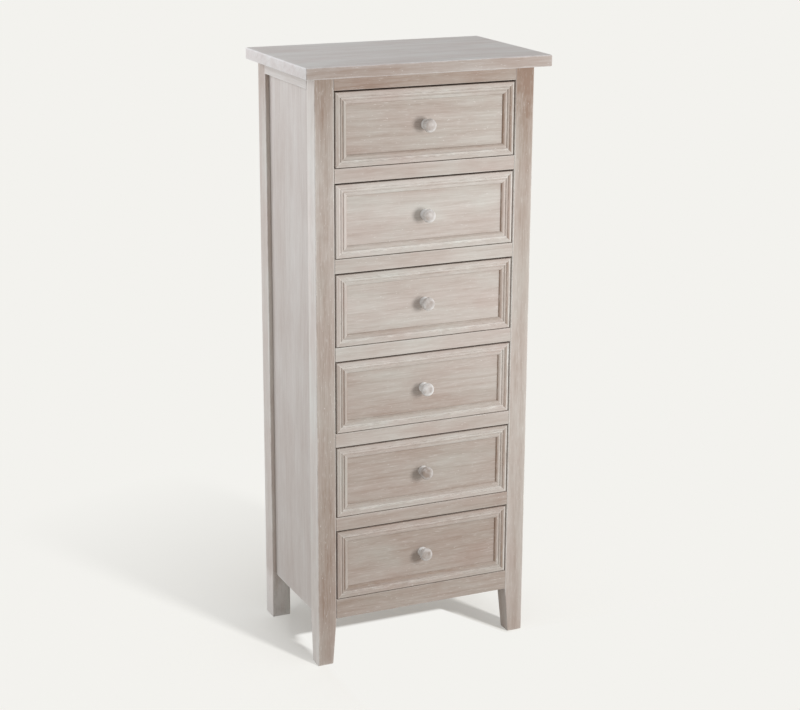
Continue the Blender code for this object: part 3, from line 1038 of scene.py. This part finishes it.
@dataclass
class Inside:
    """The runner frames under the drawers, and the thin back panel with its nails.

    Attributes:
        rounding: the rubbed edge of the runner frames; the back panel's is half of it.
        panel_setback: how far the panel's back face lies inside the posts' back faces.
        nail_spacing: the distance between nails.
        nail_inset: how far the nails are from the panel's edges.
        nail_radius: a nail head's radius.
        nail_height: how far a head stands proud of the panel.
        nail_flats: flats round a nail head, and from its middle to its edge and back.
    """

    rounding: float = 0.0008
    panel_setback: float = 0.0006
    nail_spacing: float = 0.075
    nail_inset: float = 0.006
    nail_radius: float = 0.0022
    nail_height: float = 0.0005
    nail_flats: tuple[int, int] = (12, 8)

    def build(self) -> None:
        """Make the runner frames, the back panel and its nails."""
        for number in range(1, DRAWER_COUNT + 1):
            node = f"runner_frame_{number}"
            finish = BARE.material(f"{node}_wood", Grain.ALONG_Y, Seed.RUNNER_FRAME + number)
            mesh = eased_mesh(merged_copy(node), self.rounding)
            add_piece(f"{node}_bare", mesh, "carcass", finish, node)
        low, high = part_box("back_panel")
        self._back_panel(low, high)
        self._nails(low, high)

    def _back_panel(self, low: Vector, high: Vector) -> None:
        """Make the panel, its back face set in a little.

        Args:
            low: the panel's low corner.
            high: its high corner.
        """
        mesh = merged_copy("back_panel")
        for vertex in mesh.vertices:
            if vertex.co.y > (low.y + high.y) / 2:
                vertex.co.y -= self.panel_setback
        finish = PLY.material("back_panel_ply", Grain.ALONG_Z, Seed.BACK_PANEL, (low, high))
        mesh = eased_mesh(mesh, self.rounding / 2)
        add_piece("back_panel_ply", mesh, "carcass", finish, "back_panel")

    def _nails(self, low: Vector, high: Vector) -> None:
        """Make the row of nails round the panel's edge.

        Args:
            low: the panel's low corner.
            high: its high corner.
        """
        nails = self._nail_tree().mesh({
            "Width": high.x - low.x - 2 * self.nail_inset,
            "Height": high.z - low.z - 2 * self.nail_inset,
            "Spacing": self.nail_spacing,
            "Radius": self.nail_radius,
            "Proud": self.nail_height,
            "Steel": PinSteel().material("nail_steel"),
        })
        middle = (low + high) / 2
        nails.transform(Matrix.Translation((middle.x, high.y - self.panel_setback, middle.z)))
        nails.shade_smooth()
        nails.set_sharp_from_angle(angle=CREASE)
        add_piece("back_panel_nails", nails, "carcass", None)

    def _nail_tree(self) -> GeometryTree:
        """Make the tree that sets nail heads along a rectangle.

        Returns:
            The tree, whose low domed heads face along +Y.
        """
        made = GeometryTree(
            "nail_row", ("Width", "Height", "Spacing", "Radius", "Proud"), ("Steel",)
        )
        graph, given = made.graph, made.given
        around, over = self.nail_flats
        edge = graph.shape(
            "CurvePrimitiveQuadrilateral", Width=given["Width"], Height=given["Height"]
        )
        spaced = {"mode": "LENGTH"}
        points = graph.shape("ResampleCurve", spaced, Curve=edge, Length=given["Spacing"])
        head = graph.shape("MeshUVSphere", Segments=around, Rings=over, Radius=1.0)
        flat = graph.vector(given["Radius"], given["Radius"], given["Proud"])
        nails = graph.shape("InstanceOnPoints", Points=points, Instance=head, Scale=flat)
        upright = graph.shape("Transform", Geometry=nails, Rotation=(-QUARTER, 0.0, 0.0))
        real = graph.shape("RealizeInstances", Geometry=upright)
        made.finish(graph.shape("SetMaterial", Geometry=real, Material=given["Steel"]))
        return made


# Cover gained across the strip on each side. It is partly the wash and partly painted light and
# shade: bright where the profile faces the light, dark where it turns away.
TOP_WASH_AND_SHADE: Pairs = (
    (0, 0.46), (0.06, 0.54), (0.20, 0.58), (0.28, 0.66), (0.38, 0.73), (0.50, 0.72), (0.56, 0.70),
    (0.62, 0.62), (0.70, 0.60), (0.80, 0.60), (0.87, 0.63), (0.93, 0.66), (0.97, 0.54), (1, 0.44),
)
LEFT_WASH_AND_SHADE: Pairs = (
    (0, 0.60), (0.05, 0.58), (0.10, 0.44), (0.22, 0.44), (0.28, 0.62), (0.32, 0.64), (0.36, 0.58),
    (0.41, 0.54), (0.46, 0.54), (0.52, 0.50), (0.56, 0.42), (0.62, 0.32), (0.67, 0.40),
    (0.72, 0.60), (0.80, 0.58), (0.90, 0.54), (1, 0.34),
)
RIGHT_WASH_AND_SHADE: Pairs = (
    (0, 0.70), (0.05, 0.86), (0.12, 0.82), (0.19, 0.46), (0.28, 0.28), (0.36, 0.44), (0.42, 0.60),
    (0.50, 0.54), (0.58, 0.62), (0.66, 0.82), (0.73, 0.60), (0.82, 0.46), (0.90, 0.38), (1, 0.12),
)
BOTTOM_WASH_AND_SHADE: Pairs = (
    (0, 0.60), (0.06, 0.60), (0.16, 0.60), (0.24, 0.57), (0.31, 0.62), (0.38, 0.77), (0.48, 0.77),
    (0.54, 0.70), (0.60, 0.58), (0.68, 0.58), (0.75, 0.50), (0.82, 0.41), (0.88, 0.37),
    (0.95, 0.40), (1, 0.44),
)


@dataclass
class Moulding:
    """The four mitred strips round the panel of a drawer front.

    Attributes:
        band: the strips' width.
        sink: how far the panel lies behind the front plane.
        steps: straight steps across the profile.
        profile: how far in, as shares of the band, and how deep, as shares of the sink.
        covers: cover gained across each strip, with 0.5 for none, partly painted light and shade
            that differs from side to side.
    """

    band: float = 0.023
    sink: float = 0.0045
    steps: int = 96
    profile: Pairs = (
        (0, 0.24), (0.012, 0.08), (0.04, 0), (0.325, 0), (0.345, 0.06), (0.375, 0.34),
        (0.42, 0.36), (0.44, 0.10), (0.47, 0.02), (0.505, 0), (0.545, 0.03), (0.57, 0.14),
        (0.59, 0.46), (0.65, 0.50), (0.67, 0.28), (0.71, 0.18), (0.77, 0.17), (0.84, 0.22),
        (0.89, 0.31), (0.93, 0.43), (0.96, 0.57), (0.985, 0.78), (1, 1),
    )
    covers: tuple[tuple[Side, Pairs], ...] = (
        (Side.TOP, TOP_WASH_AND_SHADE), (Side.LEFT, LEFT_WASH_AND_SHADE),
        (Side.RIGHT, RIGHT_WASH_AND_SHADE), (Side.BOTTOM, BOTTOM_WASH_AND_SHADE),
    )

    def tree(self) -> GeometryTree:
        """Make the tree for the four strips.

        Returns:
            The tree, whose strips lie in the XZ plane about the origin.
        """
        woods = tuple(side.wood for side in Side)
        made = GeometryTree("mitred_moulding", ("Width", "Height", "Band", "Sink"), woods)
        profile = self._profile(made)
        shape = made.graph.node("GeometryNodeJoinGeometry")
        for side in Side:
            made.graph.tree.links.new(self._strip(made, profile, side).socket, shape.inputs[0])
        made.finish(Field(made.graph, shape.outputs[0]))
        return made

    def _profile(self, made: GeometryTree) -> Field:
        """Make the strips' closed section: X runs inwards from the outer edge, Y runs back.

        Args:
            made: the tree.

        Returns:
            The section as a curve.
        """
        graph, given = made.graph, made.given
        # Two points past the profile's own close the section behind it.
        line = graph.shape("MeshLine", Count=self.steps + 3)
        number = graph.shape("InputIndex")
        share = (number / self.steps).least(1.0)
        behind = graph.math("GREATER_THAN", number, self.steps + 0.5)
        last = graph.math("GREATER_THAN", number, self.steps + 1.5)
        depth = graph.out("ShaderNodeFloatCurve", {"points": self.profile}, {1: share})
        depth = depth * (1 - behind) + behind
        place = graph.vector(share * (1 - last) * given["Band"], depth * given["Sink"], 0.0)
        line = graph.shape("SetPosition", Geometry=line, Position=place)
        curve = graph.shape("MeshToCurve", Mesh=line)
        return graph.shape("SetSplineCyclic", Geometry=curve, Cyclic=True)

    @staticmethod
    def _strip(made: GeometryTree, profile: Field, side: Side) -> Field:
        """Make one strip, mitred at both ends and turned to its side.

        Args:
            made: the tree.
            profile: the closed section.
            side: where the strip goes.

        Returns:
            The strip's geometry.
        """
        graph, given = made.graph, made.given
        half, reach = given["Height"] / 2, given["Width"] / 2
        if not side.upright:
            half, reach = reach, half
        start, end = graph.vector(0, 0, 0 - half), graph.vector(0, 0, half)
        path = graph.shape("CurvePrimitiveLine", Start=start, End=end)
        strip = graph.shape("CurveToMesh", Curve=path, Profile_Curve=profile, Fill_Caps=True)
        x, _, z = graph.shape("InputPosition").parts()
        shift = graph.vector(0.0, 0.0, 0 - graph.math("SIGN", z) * x)
        strip = graph.shape("SetPosition", Geometry=strip, Offset=shift)
        on_points = {"data_type": "FLOAT", "domain": "POINT"}
        for name, value in zip(STRIP_ATTRIBUTES, (x / given["Band"], z, half - x)):
            strip = graph.shape(
                "StoreNamedAttribute", on_points, Geometry=strip, Name=name, Value=value
            )
        out = graph.vector(0 - reach, 0.0, 0.0)
        strip = graph.shape("Transform", Geometry=strip, Translation=out)
        strip = graph.shape("Transform", Geometry=strip, Rotation=(0.0, side.value, 0.0))
        return graph.shape("SetMaterial", Geometry=strip, Material=given[side.wood])


@dataclass
class Knob:
    """A turned wooden knob with its tenon.

    Attributes:
        base: the radius of the foot that sits on the panel.
        neck: the radius of the neck.
        head: the radius of the head.
        projection: how far the head's face stands out from the foot.
        tenon: the tenon's radius.
        tenon_length: the tenon's length.
        steps: flats round the axis.
        smoothing: points between two points of the profile.
        base_turns: the foot's profile, as shares of its radius and of the projection.
        neck_turns: the same for the neck.
        head_turns: the same for the head.
    """

    base: float = 0.010
    neck: float = 0.006
    head: float = 0.013
    projection: float = 0.026
    tenon: float = 0.0045
    tenon_length: float = 0.014
    steps: int = 64
    smoothing: int = 4
    base_turns: Pairs = ((1, 0), (1, 0.05), (0.985, 0.085), (0.93, 0.11), (0.78, 0.145))
    neck_turns: Pairs = ((1.06, 0.21), (0.98, 0.29), (1.02, 0.38), (1.22, 0.45))
    head_turns: Pairs = (
        (0.72, 0.52), (0.90, 0.585), (0.975, 0.645), (1, 0.715), (0.985, 0.79), (0.93, 0.865),
        (0.83, 0.925), (0.68, 0.965), (0.48, 0.988), (0.24, 0.998),
    )

    def outline(self) -> list[tuple[float, float]]:
        """The turned outline from the foot of the tenon to the middle of the face.

        Returns:
            Radii with their distances from the foot.
        """
        turned = (
            (self.base, self.base_turns), (self.neck, self.neck_turns), (self.head, self.head_turns)
        )
        key = [
            Vector((radius * wide, self.projection * far))
            for radius, turns in turned for wide, far in turns
        ]
        tenon = [(0.0, -self.tenon_length), (self.tenon, -self.tenon_length), (self.tenon, 0.0)]
        return tenon + self._smoothed(key) + [(0.0, self.projection)]

    def _smoothed(self, key: list[Vector]) -> list[tuple[float, float]]:
        """Points on a smooth curve.

        Args:
            key: the points that the curve passes.

        Returns:
            Those points with more between them.
        """
        ends = [key[0] * 2 - key[1], *key, key[-1] * 2 - key[-2]]
        made = []
        for a, b, c, d in zip(ends, ends[1:], ends[2:], ends[3:]):
            for step in range(self.smoothing):
                t = step / self.smoothing
                spot = b * 2 + (c - a) * t + (a * 2 - b * 5 + c * 4 - d) * t**2
                spot += (b * 3 - a - c * 3 + d) * t**3
                made.append(tuple(spot / 2))
        return made + [tuple(key[-1])]

    def mesh(self, foot: Vector) -> Mesh:
        """Turn the knob.

        Args:
            foot: the middle of the foot; the axis runs along -Y from there.

        Returns:
            The mesh in its place.
        """
        bm = bmesh.new()
        line = [bm.verts.new((radius, 0, height)) for radius, height in self.outline()]
        edges = [bm.edges.new(pair) for pair in zip(line, line[1:])]
        bmesh.ops.spin(
            bm, geom=line + edges, cent=(0, 0, 0), axis=(0, 0, 1), angle=tau,
            steps=self.steps, use_merge=True,
        )
        bmesh.ops.remove_doubles(bm, verts=bm.verts, dist=MERGE_DISTANCE)
        bmesh.ops.recalc_face_normals(bm, faces=bm.faces)
        made = plain_mesh(bm, "knob")
        made.transform(Matrix.Translation(foot) @ Matrix.Rotation(QUARTER, 4, "X"))
        made.shade_smooth()
        made.set_sharp_from_angle(angle=CREASE)
        return made


@dataclass(frozen=True)
class KnobWash:
    """The wash on a knob, worn on its face and thick round its rim and at its foot.

    Attributes:
        wood: the colour of the worn wood.
        wash: the colour of the wash where it is thick.
        pore: the colour of its pores.
        rim: the cover gained everywhere.
        worn: the cover lost in the middle of the face.
        foot: the cover gained at the foot.
        off_centre: how far the worn place lies to the left of the face's middle, and above it.
    """

    wood: Triple = (0.33, 0.265, 0.225)
    wash: Triple = (0.90, 0.90, 0.895)
    pore: Triple = WashedWood.wood
    rim: float = 0.27
    worn: float = 0.42
    foot: float = 0.10
    off_centre: float = 0.0018

    LOSS = Noise(260, 260, 3, 0.6)
    BLOTCH = Noise(90, 90)
    PORES = Noise(900, 900, 1)
    LAYER = {BLOTCH: 0.9, LOSS: 0.2}
    PORE_RAMP = (0.10, 0.22)
    PORE_SHARE = 0.25
    PORE_DEPTH = 0.4
    BARE_ROUGHNESS = 0.48
    WASH_SMOOTHING = 0.12
    RELIEF = Relief(0.3, 0.0002, 0.45)

    # Where the face starts and the foot ends, as shares of the knob's projection.
    FACE_RAMP = (0.76, 0.97)
    FOOT_END = 0.30

    # The worn place's outline, as shares of the head's radius, and how far outlines wander.
    WORN_RAMP = (1.0, 0.5)
    WORN_WANDER = 0.004
    FOOT_WANDER = 0.003

    def material(self, name: str, seed: int, knob: Knob, foot: Vector, cover: float) -> Material:
        """Make the finish for one knob.

        Args:
            name: the material's name.
            seed: shifts the patterns.
            knob: the knob's sizes.
            foot: the middle of the knob's foot.
            cover: how much of the wood the wash hides.

        Returns:
            The material.
        """
        piece = PieceMaterial(name, Grain.ALONG_Y, seed)
        loss, blotch = piece.noise(self.LOSS), piece.noise(self.BLOTCH)
        pores = piece.noise(self.PORES).ramp(*self.PORE_RAMP)
        x, y, z = piece.position.parts()
        aside, above = x - (foot.x - self.off_centre), z - (foot.z + self.off_centre)
        reach = (aside**2 + above**2) ** 0.5
        middle = (reach + blotch * self.WORN_WANDER).ramp(*(knob.head * r for r in self.WORN_RAMP))
        face = y.ramp(*(foot.y - knob.projection * share for share in self.FACE_RAMP))
        low = (y - loss * self.FOOT_WANDER).ramp(foot.y - knob.projection * self.FOOT_END, foot.y)
        layer = cover + self.rim + piece.blend(self.LAYER) - middle * face * self.worn
        layer = (layer + low * self.foot).clamped()
        colour = piece.graph.mixed(layer, self.wood, self.wash)
        colour = piece.graph.mixed(pores * face * self.PORE_SHARE, colour, self.pore)
        height = loss + blotch - pores * self.PORE_DEPTH
        roughness = self.BARE_ROUGHNESS - layer * self.WASH_SMOOTHING
        return piece.finished(colour, roughness, height, self.RELIEF)


@dataclass(frozen=True)
class FrontWash:
    """How much of the wood the wash hides on one drawer's front, from 0 to 1.

    Attributes:
        panel: on the sunk panel.
        lengthwise: on the strips above and below it.
        left: on the strip at its left.
        right: on the strip at its right, kept below the left as painted shade.
        knob: on the knob.
    """

    panel: float
    lengthwise: float
    left: float
    right: float
    knob: float

    def strip(self, side: Side) -> float:
        """The cover on the strip at a side."""
        return {Side.LEFT: self.left, Side.RIGHT: self.right}.get(side, self.lengthwise)


@dataclass
class Drawer:
    """One drawer: its moulded front, its knob and its box.

    Attributes:
        number: the drawer's number, 1 at the top.
        wash: how much of the wood the wash hides on its front.
        moulding: the moulding's sizes.
        knob: the knob's sizes.
        slot_clearance: the play in the joints that are cut into the front.
        dado_depth: depth of the cuts for the box's sides.
        overrun: how far a cutter runs past what it cuts.
        bore_reach: the length of the knob's cutter, and how far in front of the back face of
            the front its middle lies.
        rounding: the rubbed edges of the box's boards; the bottom's is half of it.
        front_rounding: the rubbed edges of the front's board.
    """

    number: int
    wash: FrontWash
    moulding: Moulding = field(default_factory=Moulding)
    knob: Knob = field(default_factory=Knob)
    slot_clearance: float = 0.0003
    dado_depth: float = 0.006
    overrun: float = 0.002
    bore_reach: tuple[float, float] = (0.04, 0.01)
    rounding: float = 0.0008
    front_rounding: float = 0.0002

    # The boards of the box, each with its grain and its own seed.
    BOX_BOARDS = (
        ("side_left", Grain.ALONG_Y, 9), ("side_right", Grain.ALONG_Y, 10),
        ("back", Grain.ALONG_X, 4),
    )

    # How far apart the seeds of two drawers lie, for their boxes and for their strips.
    BOX_SEEDS = 10
    STRIP_SEEDS = 7

    @property
    def body(self) -> str:
        """The drawer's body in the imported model."""
        return f"drawer_{self.number}"

    def build(self, mouldings: GeometryTree) -> None:
        """Make the whole drawer.

        Args:
            mouldings: the tree that makes the strips of a moulding.
        """
        low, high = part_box(f"{self.body}_front")
        self._front(low, high)
        self._strips(mouldings, low, high)
        self._knob()
        seeds = Seed.BOX + self.BOX_SEEDS * self.number
        for part, grain, seed in self.BOX_BOARDS:
            node = f"{self.body}_{part}"
            finish = BARE.material(f"{node}_wood", grain, seeds + seed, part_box(node))
            mesh = eased_mesh(merged_copy(node), self.rounding)
            add_piece(f"{node}_bare", mesh, self.body, finish, node)
        node = f"{self.body}_bottom"
        finish = PLY.material(
            f"{node}_ply", Grain.ALONG_X, Seed.BOTTOM + self.number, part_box(node)
        )
        mesh = eased_mesh(merged_copy(node), self.rounding / 2)
        add_piece(f"{node}_thin", mesh, self.body, finish, node)

    def _front(self, low: Vector, high: Vector) -> None:
        """Make the front's flat board, behind the moulding and cut for the box and the knob.

        Args:
            low: the front's low corner.
            high: its high corner.
        """
        corner = Vector((low.x, low.y + self.moulding.sink, low.z))
        board = self._block(corner, high)
        for cutter in self._cutters(low, high):
            board = self._carved(board, cutter)
        inset = Vector((self.moulding.band, 0, self.moulding.band))
        cover = Cover(self.wash.panel, (corner + inset, high - inset), gap_shade_level=corner.y)
        finish = WASHED_PANEL.material(
            f"{self.body}_panel_wash", Grain.ALONG_X, Seed.FRONT + self.number, cover
        )
        mesh = eased_mesh(board, self.front_rounding)
        node = f"{self.body}_front"
        add_piece(f"{self.body}_front_board", mesh, self.body, finish, node)

    def _strips(self, mouldings: GeometryTree, low: Vector, high: Vector) -> None:
        """Make the mitred moulding on the front board's face.

        Args:
            mouldings: the tree that makes the strips.
            low: the front's low corner.
            high: its high corner.
        """
        values = {
            "Width": high.x - low.x, "Height": high.z - low.z,
            "Band": self.moulding.band, "Sink": self.moulding.sink,
        }
        seed = Seed.STRIP + self.STRIP_SEEDS * self.number
        for number, (side, across) in enumerate(self.moulding.covers):
            grain = Grain.ALONG_Z if side.upright else Grain.ALONG_X
            gap_shade_level = low.y + self.moulding.sink
            cover = Cover(self.wash.strip(side), gap_shade_level=gap_shade_level, across=across)
            name = f"{self.body}_moulding_{side.name.lower()}"
            values[side.wood] = WASHED_STRIP.material(name, grain, seed + number, cover)
        mesh = mouldings.mesh(values)
        middle = (low + high) / 2
        mesh.transform(Matrix.Translation((middle.x, low.y, middle.z)))
        mesh.shade_smooth()
        mesh.set_sharp_from_angle(angle=STRIP_CREASE)
        add_piece(f"{self.body}_moulding", mesh, self.body, None)

    def _knob(self) -> None:
        """Make the knob in the middle of the front."""
        node = f"{self.body}_knob"
        low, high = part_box(node)
        foot = Vector(((low.x + high.x) / 2, low.y + self.knob.projection, (low.z + high.z) / 2))
        seed = Seed.KNOB + self.number
        finish = KnobWash().material(f"{node}_wash", seed, self.knob, foot, self.wash.knob)
        add_piece(f"{node}_turned", self.knob.mesh(foot), self.body, finish, node)

    def _cutters(self, low: Vector, high: Vector) -> list[Mesh]:
        """Make the cutters for the box's sides, its bottom and the knob's tenon.

        Args:
            low: the front's low corner.
            high: its high corner.

        Returns:
            The cutters.
        """
        gap, back = self.slot_clearance, high.y + self.overrun
        made = []
        for part in ("side_left", "side_right"):
            near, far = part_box(f"{self.body}_{part}")
            start = Vector((near.x - gap, high.y - self.dado_depth, low.z - self.overrun))
            made.append(self._block(start, Vector((far.x + gap, back, far.z + gap))))
        near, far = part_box(f"{self.body}_bottom")
        start = near - Vector((gap, gap, gap))
        made.append(self._block(start, Vector((far.x + gap, back, far.z + gap))))
        near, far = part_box(f"{self.body}_knob")
        length, inside = self.bore_reach
        centre = ((near.x + far.x) / 2, high.y - inside, (near.z + far.z) / 2)
        radius = self.knob.tenon + gap
        bm = bmesh.new()
        bmesh.ops.create_cone(
            bm, cap_ends=True, segments=self.knob.steps // 2, radius1=radius, radius2=radius,
            depth=length, matrix=Matrix.Translation(centre) @ Matrix.Rotation(QUARTER, 4, "X"),
        )
        return made + [self._outward(bm)]

    def _block(self, low: Vector, high: Vector) -> Mesh:
        """Make a box.

        Args:
            low: its low corner.
            high: its high corner.

        Returns:
            The box's mesh.
        """
        bm = bmesh.new()
        stretch = Matrix.Diagonal((*(high - low), 1))
        bmesh.ops.create_cube(bm, size=1, matrix=Matrix.Translation((low + high) / 2) @ stretch)
        return self._outward(bm)

    @staticmethod
    def _outward(bm: bmesh.types.BMesh) -> Mesh:
        """Turn a bmesh into a mesh whose faces point outwards."""
        bmesh.ops.recalc_face_normals(bm, faces=bm.faces)
        return plain_mesh(bm, "board")

    @staticmethod
    def _carved(body: Mesh, tool: Mesh) -> Mesh:
        """Cut one mesh out of another.

        Args:
            body: the mesh that is cut.
            tool: the mesh that cuts it.

        Returns:
            What is left.
        """
        holder, cutter = linked("body", body), linked("tool", tool)
        cut = holder.modifiers.new("cut", "BOOLEAN")
        cut.operation = "DIFFERENCE"
        cut.solver = "EXACT"
        cut.object = cutter
        made = taken_mesh(holder)
        bpy.data.objects.remove(cutter, do_unlink=True)
        return made


# These covers partly paint in shade. They are lower on the drawers near the floor, where the light
# falls off, and on the top drawer under the top board. The right strips get less than the left, as
# painted shade on the side turned from the key lamp.
FRONTS = (
    FrontWash(panel=0.40, lengthwise=0.37, left=0.41, right=0.24, knob=0.36),
    FrontWash(panel=0.52, lengthwise=0.48, left=0.66, right=0.36, knob=0.50),
    FrontWash(panel=0.51, lengthwise=0.42, left=0.53, right=0.28, knob=0.41),
    FrontWash(panel=0.39, lengthwise=0.42, left=0.35, right=0.36, knob=0.55),
    FrontWash(panel=0.32, lengthwise=0.38, left=0.43, right=0.34, knob=0.20),
    FrontWash(panel=0.32, lengthwise=0.29, left=0.35, right=0.30, knob=0.34),
)


@dataclass(frozen=True)
class Lamp:
    """A lamp of the studio.

    Attributes:
        name: its name.
        energy: its strength, in watts, or for a sun in watts per square metre.
        place: where it stands.
        target: what it looks at.
        size: an area lamp's width and height, or None for a sun.
        colour: its colour.
        sun_angle: how wide a sun looks, in degrees.
    """

    name: str
    energy: float
    place: Triple
    target: Triple
    size: tuple[float, float] | None = None
    colour: Triple = (1.0, 1.0, 1.0)
    sun_angle: float = 6.0

    def build(self, floor: Object) -> None:
        """Make the lamp. A sun lights the floor alone, and an area lamp all but the floor.

        Args:
            floor: the studio's floor.
        """
        data = bpy.data.lights.new(self.name, "AREA" if self.size else "SUN")
        data.color = self.colour
        data.energy = self.energy
        if self.size:
            data.shape = "RECTANGLE"
            data.size, data.size_y = self.size
        else:
            data.angle = radians(self.sun_angle)
        lamp = linked(self.name, data)
        lamp.visible_camera = False
        lamp.location = self.place
        lamp.rotation_mode = "QUATERNION"
        way = Vector(self.target) - Vector(self.place)
        lamp.rotation_quaternion = way.to_track_quat("-Z", "Y")
        lit = bpy.data.collections.new(f"{self.name}_floor")
        lit.objects.link(floor)
        lit.collection_objects[0].light_linking.link_state = "EXCLUDE" if self.size else "INCLUDE"
        lamp.light_linking.receiver_collection = lit


LAMPS = (
    Lamp("key", 20.5, (0.92, -1.75, 1.0), (0.0, -0.13, 0.72), (0.55, 0.8)),
    Lamp("side", 19.0, (-1.6, 1.0, 1.6), (0.0, 0.0, 0.9), (1.2, 1.2), (0.93, 0.94, 1.0)),
    Lamp("floor_key", 2.43, (0.64, -1.59, 1.16), (0.0, 0.0, 0.0)),
)


@dataclass
class Studio:
    """The pale floor, the soft lights and the camera.

    Attributes:
        backdrop: the colour that the floor and the space behind it show.
        sky: the strength of the sky's light.
        floor_radius: the floor's radius.
        floor_steps: flats round the floor's edge.
        paper: the floor's colour as it lights the chest, and as it is seen.
        paper_roughness: the floor's roughness.
        shadow_reach: how far from the middle the shadow starts to fade, and where it ends.
        shadow_lift: how much of the backdrop's colour the shadow keeps where it is deepest.
        front_fade: the levels on Y between which the shadow ends under the chest.
        foot_fade: the levels on X between which that holds, to the right of the left foot.
        right_foot: the inner front corner of the right foot, which keeps its own shadow.
        foot_blur: how soft that shadow's edges are, across and to the front.
        slant: how far its edge runs to the left for each metre to the back.
        camera_place: where the camera stands.
        heading: the camera's turn to the right from +Y, in degrees.
        dip: how far it looks down, in degrees.
        roll: its tilt about its own axis, in degrees.
        lens: its focal length in millimetres.
        sensor: its sensor's width in millimetres.
    """

    backdrop: Triple = (0.896, 0.888, 0.855)
    sky: float = 0.514
    floor_radius: float = 40.0
    floor_steps: int = 96
    paper: tuple[Triple, Triple] = ((0.55, 0.54, 0.52), (0.958, 0.950, 0.914))
    paper_roughness: float = 0.9
    shadow_reach: tuple[float, float] = (0.22, 1.07)
    shadow_lift: float = 0.30
    front_fade: tuple[float, float] = (0.034, 0.012)
    foot_fade: tuple[float, float] = (-0.235, -0.200)
    right_foot: tuple[float, float] = (0.1935, -0.136)
    foot_blur: tuple[float, float] = (0.012, 0.01)
    slant: float = 0.45
    camera_place: Triple = (-1.4853, -3.3364, 1.6532)
    heading: float = 24.123
    dip: float = 16.384
    roll: float = -0.266
    lens: float = 85.63
    sensor: float = 36.0

    def build(self) -> None:
        """Make the whole studio."""
        self._world()
        floor = self._floor()
        for lamp in LAMPS:
            lamp.build(floor)
        self._camera()

    @staticmethod
    def _seen(graph: Graph) -> Field:
        """Tell what is seen from what is only lit.

        Args:
            graph: the node graph that asks.

        Returns:
            1 where a camera, mirror or glass ray looks, and 0 for the light itself.
        """
        path = graph.node("ShaderNodeLightPath")
        camera, glossy, through = (
            Field(graph, path.outputs[name])
            for name in ("Is Camera Ray", "Is Glossy Ray", "Is Transmission Ray")
        )
        return camera.most(glossy).most(through)

    def _world(self) -> None:
        """Make an even pale sky, shown as the backdrop's colour."""
        world = bpy.data.worlds.new("studio")
        bpy.context.scene.world = world
        world.use_nodes = True
        graph = Graph(world.node_tree)
        shown, light = (
            graph.out("ShaderNodeBackground", inputs={0: (*colour, 1.0), 1: strength})
            for colour, strength in ((self.backdrop, 1.0), ((1.0, 1.0, 1.0), self.sky))
        )
        mix = graph.out("ShaderNodeMixShader", inputs={0: self._seen(graph), 1: light, 2: shown})
        graph.feed(world.node_tree.nodes["World Output"].inputs[0], mix)

    def _floor(self) -> Object:
        """Make a wide disc that takes the chest's shadow and shows the backdrop further out.

        Returns:
            The floor.
        """
        bm = bmesh.new()
        bmesh.ops.create_circle(
            bm, cap_ends=True, segments=self.floor_steps, radius=self.floor_radius
        )
        mesh = plain_mesh(bm, "floor")
        paper, graph, shader = new_material("floor_paper")
        seen = self._seen(graph)
        graph.feed(shader.inputs["Base Color"], graph.mixed(seen, *self.paper))
        shader.inputs["Roughness"].default_value = self.paper_roughness
        shader.inputs["Specular IOR Level"].default_value = 0.0
        lit = Field(graph, shader.outputs[0])
        plain = graph.out("ShaderNodeEmission", inputs={0: (*self.backdrop, 1.0), 1: 1.0})
        share = self._plainness(graph) * seen
        mix = graph.out("ShaderNodeMixShader", inputs={0: share, 1: lit, 2: plain})
        graph.feed(paper.node_tree.nodes["Material Output"].inputs[0], mix)
        mesh.materials.append(paper)
        floor = linked("floor", mesh)
        return floor

    def _plainness(self, graph: Graph) -> Field:
        """How far the floor shows the plain backdrop in place of the shadow.

        Args:
            graph: the floor's node graph.

        Returns:
            1 for the backdrop alone, and 0 for the shadow.
        """
        place = graph.out("ShaderNodeTexCoord", output="Object")
        reach = graph.out("ShaderNodeVectorMath", {"operation": "LENGTH"}, {0: place}, "Value")
        near, end = self.shadow_reach
        far = ((reach - near) / (end - near)).clamped() ** 0.5
        x, y, _ = place.parts()
        inner, front = self.right_foot
        left_of_foot = (x + (y - front) * self.slant).ramp(inner, inner - self.foot_blur[0])
        before_foot = y.ramp(front, front - self.foot_blur[1])
        ahead = y.ramp(*self.front_fade) * x.ramp(*self.foot_fade)
        ahead = ahead * left_of_foot.most(before_foot)
        return (far * (1 - self.shadow_lift) + self.shadow_lift).most(ahead)

    def _camera(self) -> None:
        """Make the camera at the photograph's place and angle."""
        turn, dip = radians(self.heading), radians(self.dip)
        ahead = Vector((sin(turn) * cos(dip), cos(turn) * cos(dip), -sin(dip)))
        level = Vector((cos(turn), -sin(turn), 0))
        right = Matrix.Rotation(radians(self.roll), 3, ahead) @ level
        pose = Matrix((right, right.cross(ahead), -ahead)).transposed().to_4x4()
        data = bpy.data.cameras.new("camera")
        data.sensor_width = self.sensor
        data.lens = self.lens
        data.clip_end = 2 * self.floor_radius
        camera = linked("camera", data)
        camera.matrix_world = Matrix.Translation(self.camera_place) @ pose
        bpy.context.scene.camera = camera


def main() -> None:
    """Build the chest and its studio."""
    logging.basicConfig(level=logging.INFO, format="%(name)s: %(message)s")
    bpy.context.scene.view_settings.view_transform = "Standard"
    Carcass().build()
    Inside().build()
    mouldings = Moulding().tree()
    for number, wash in enumerate(FRONTS, 1):
        Drawer(number, wash).build(mouldings)
    Studio().build()


if __name__ == "__main__":
    main()
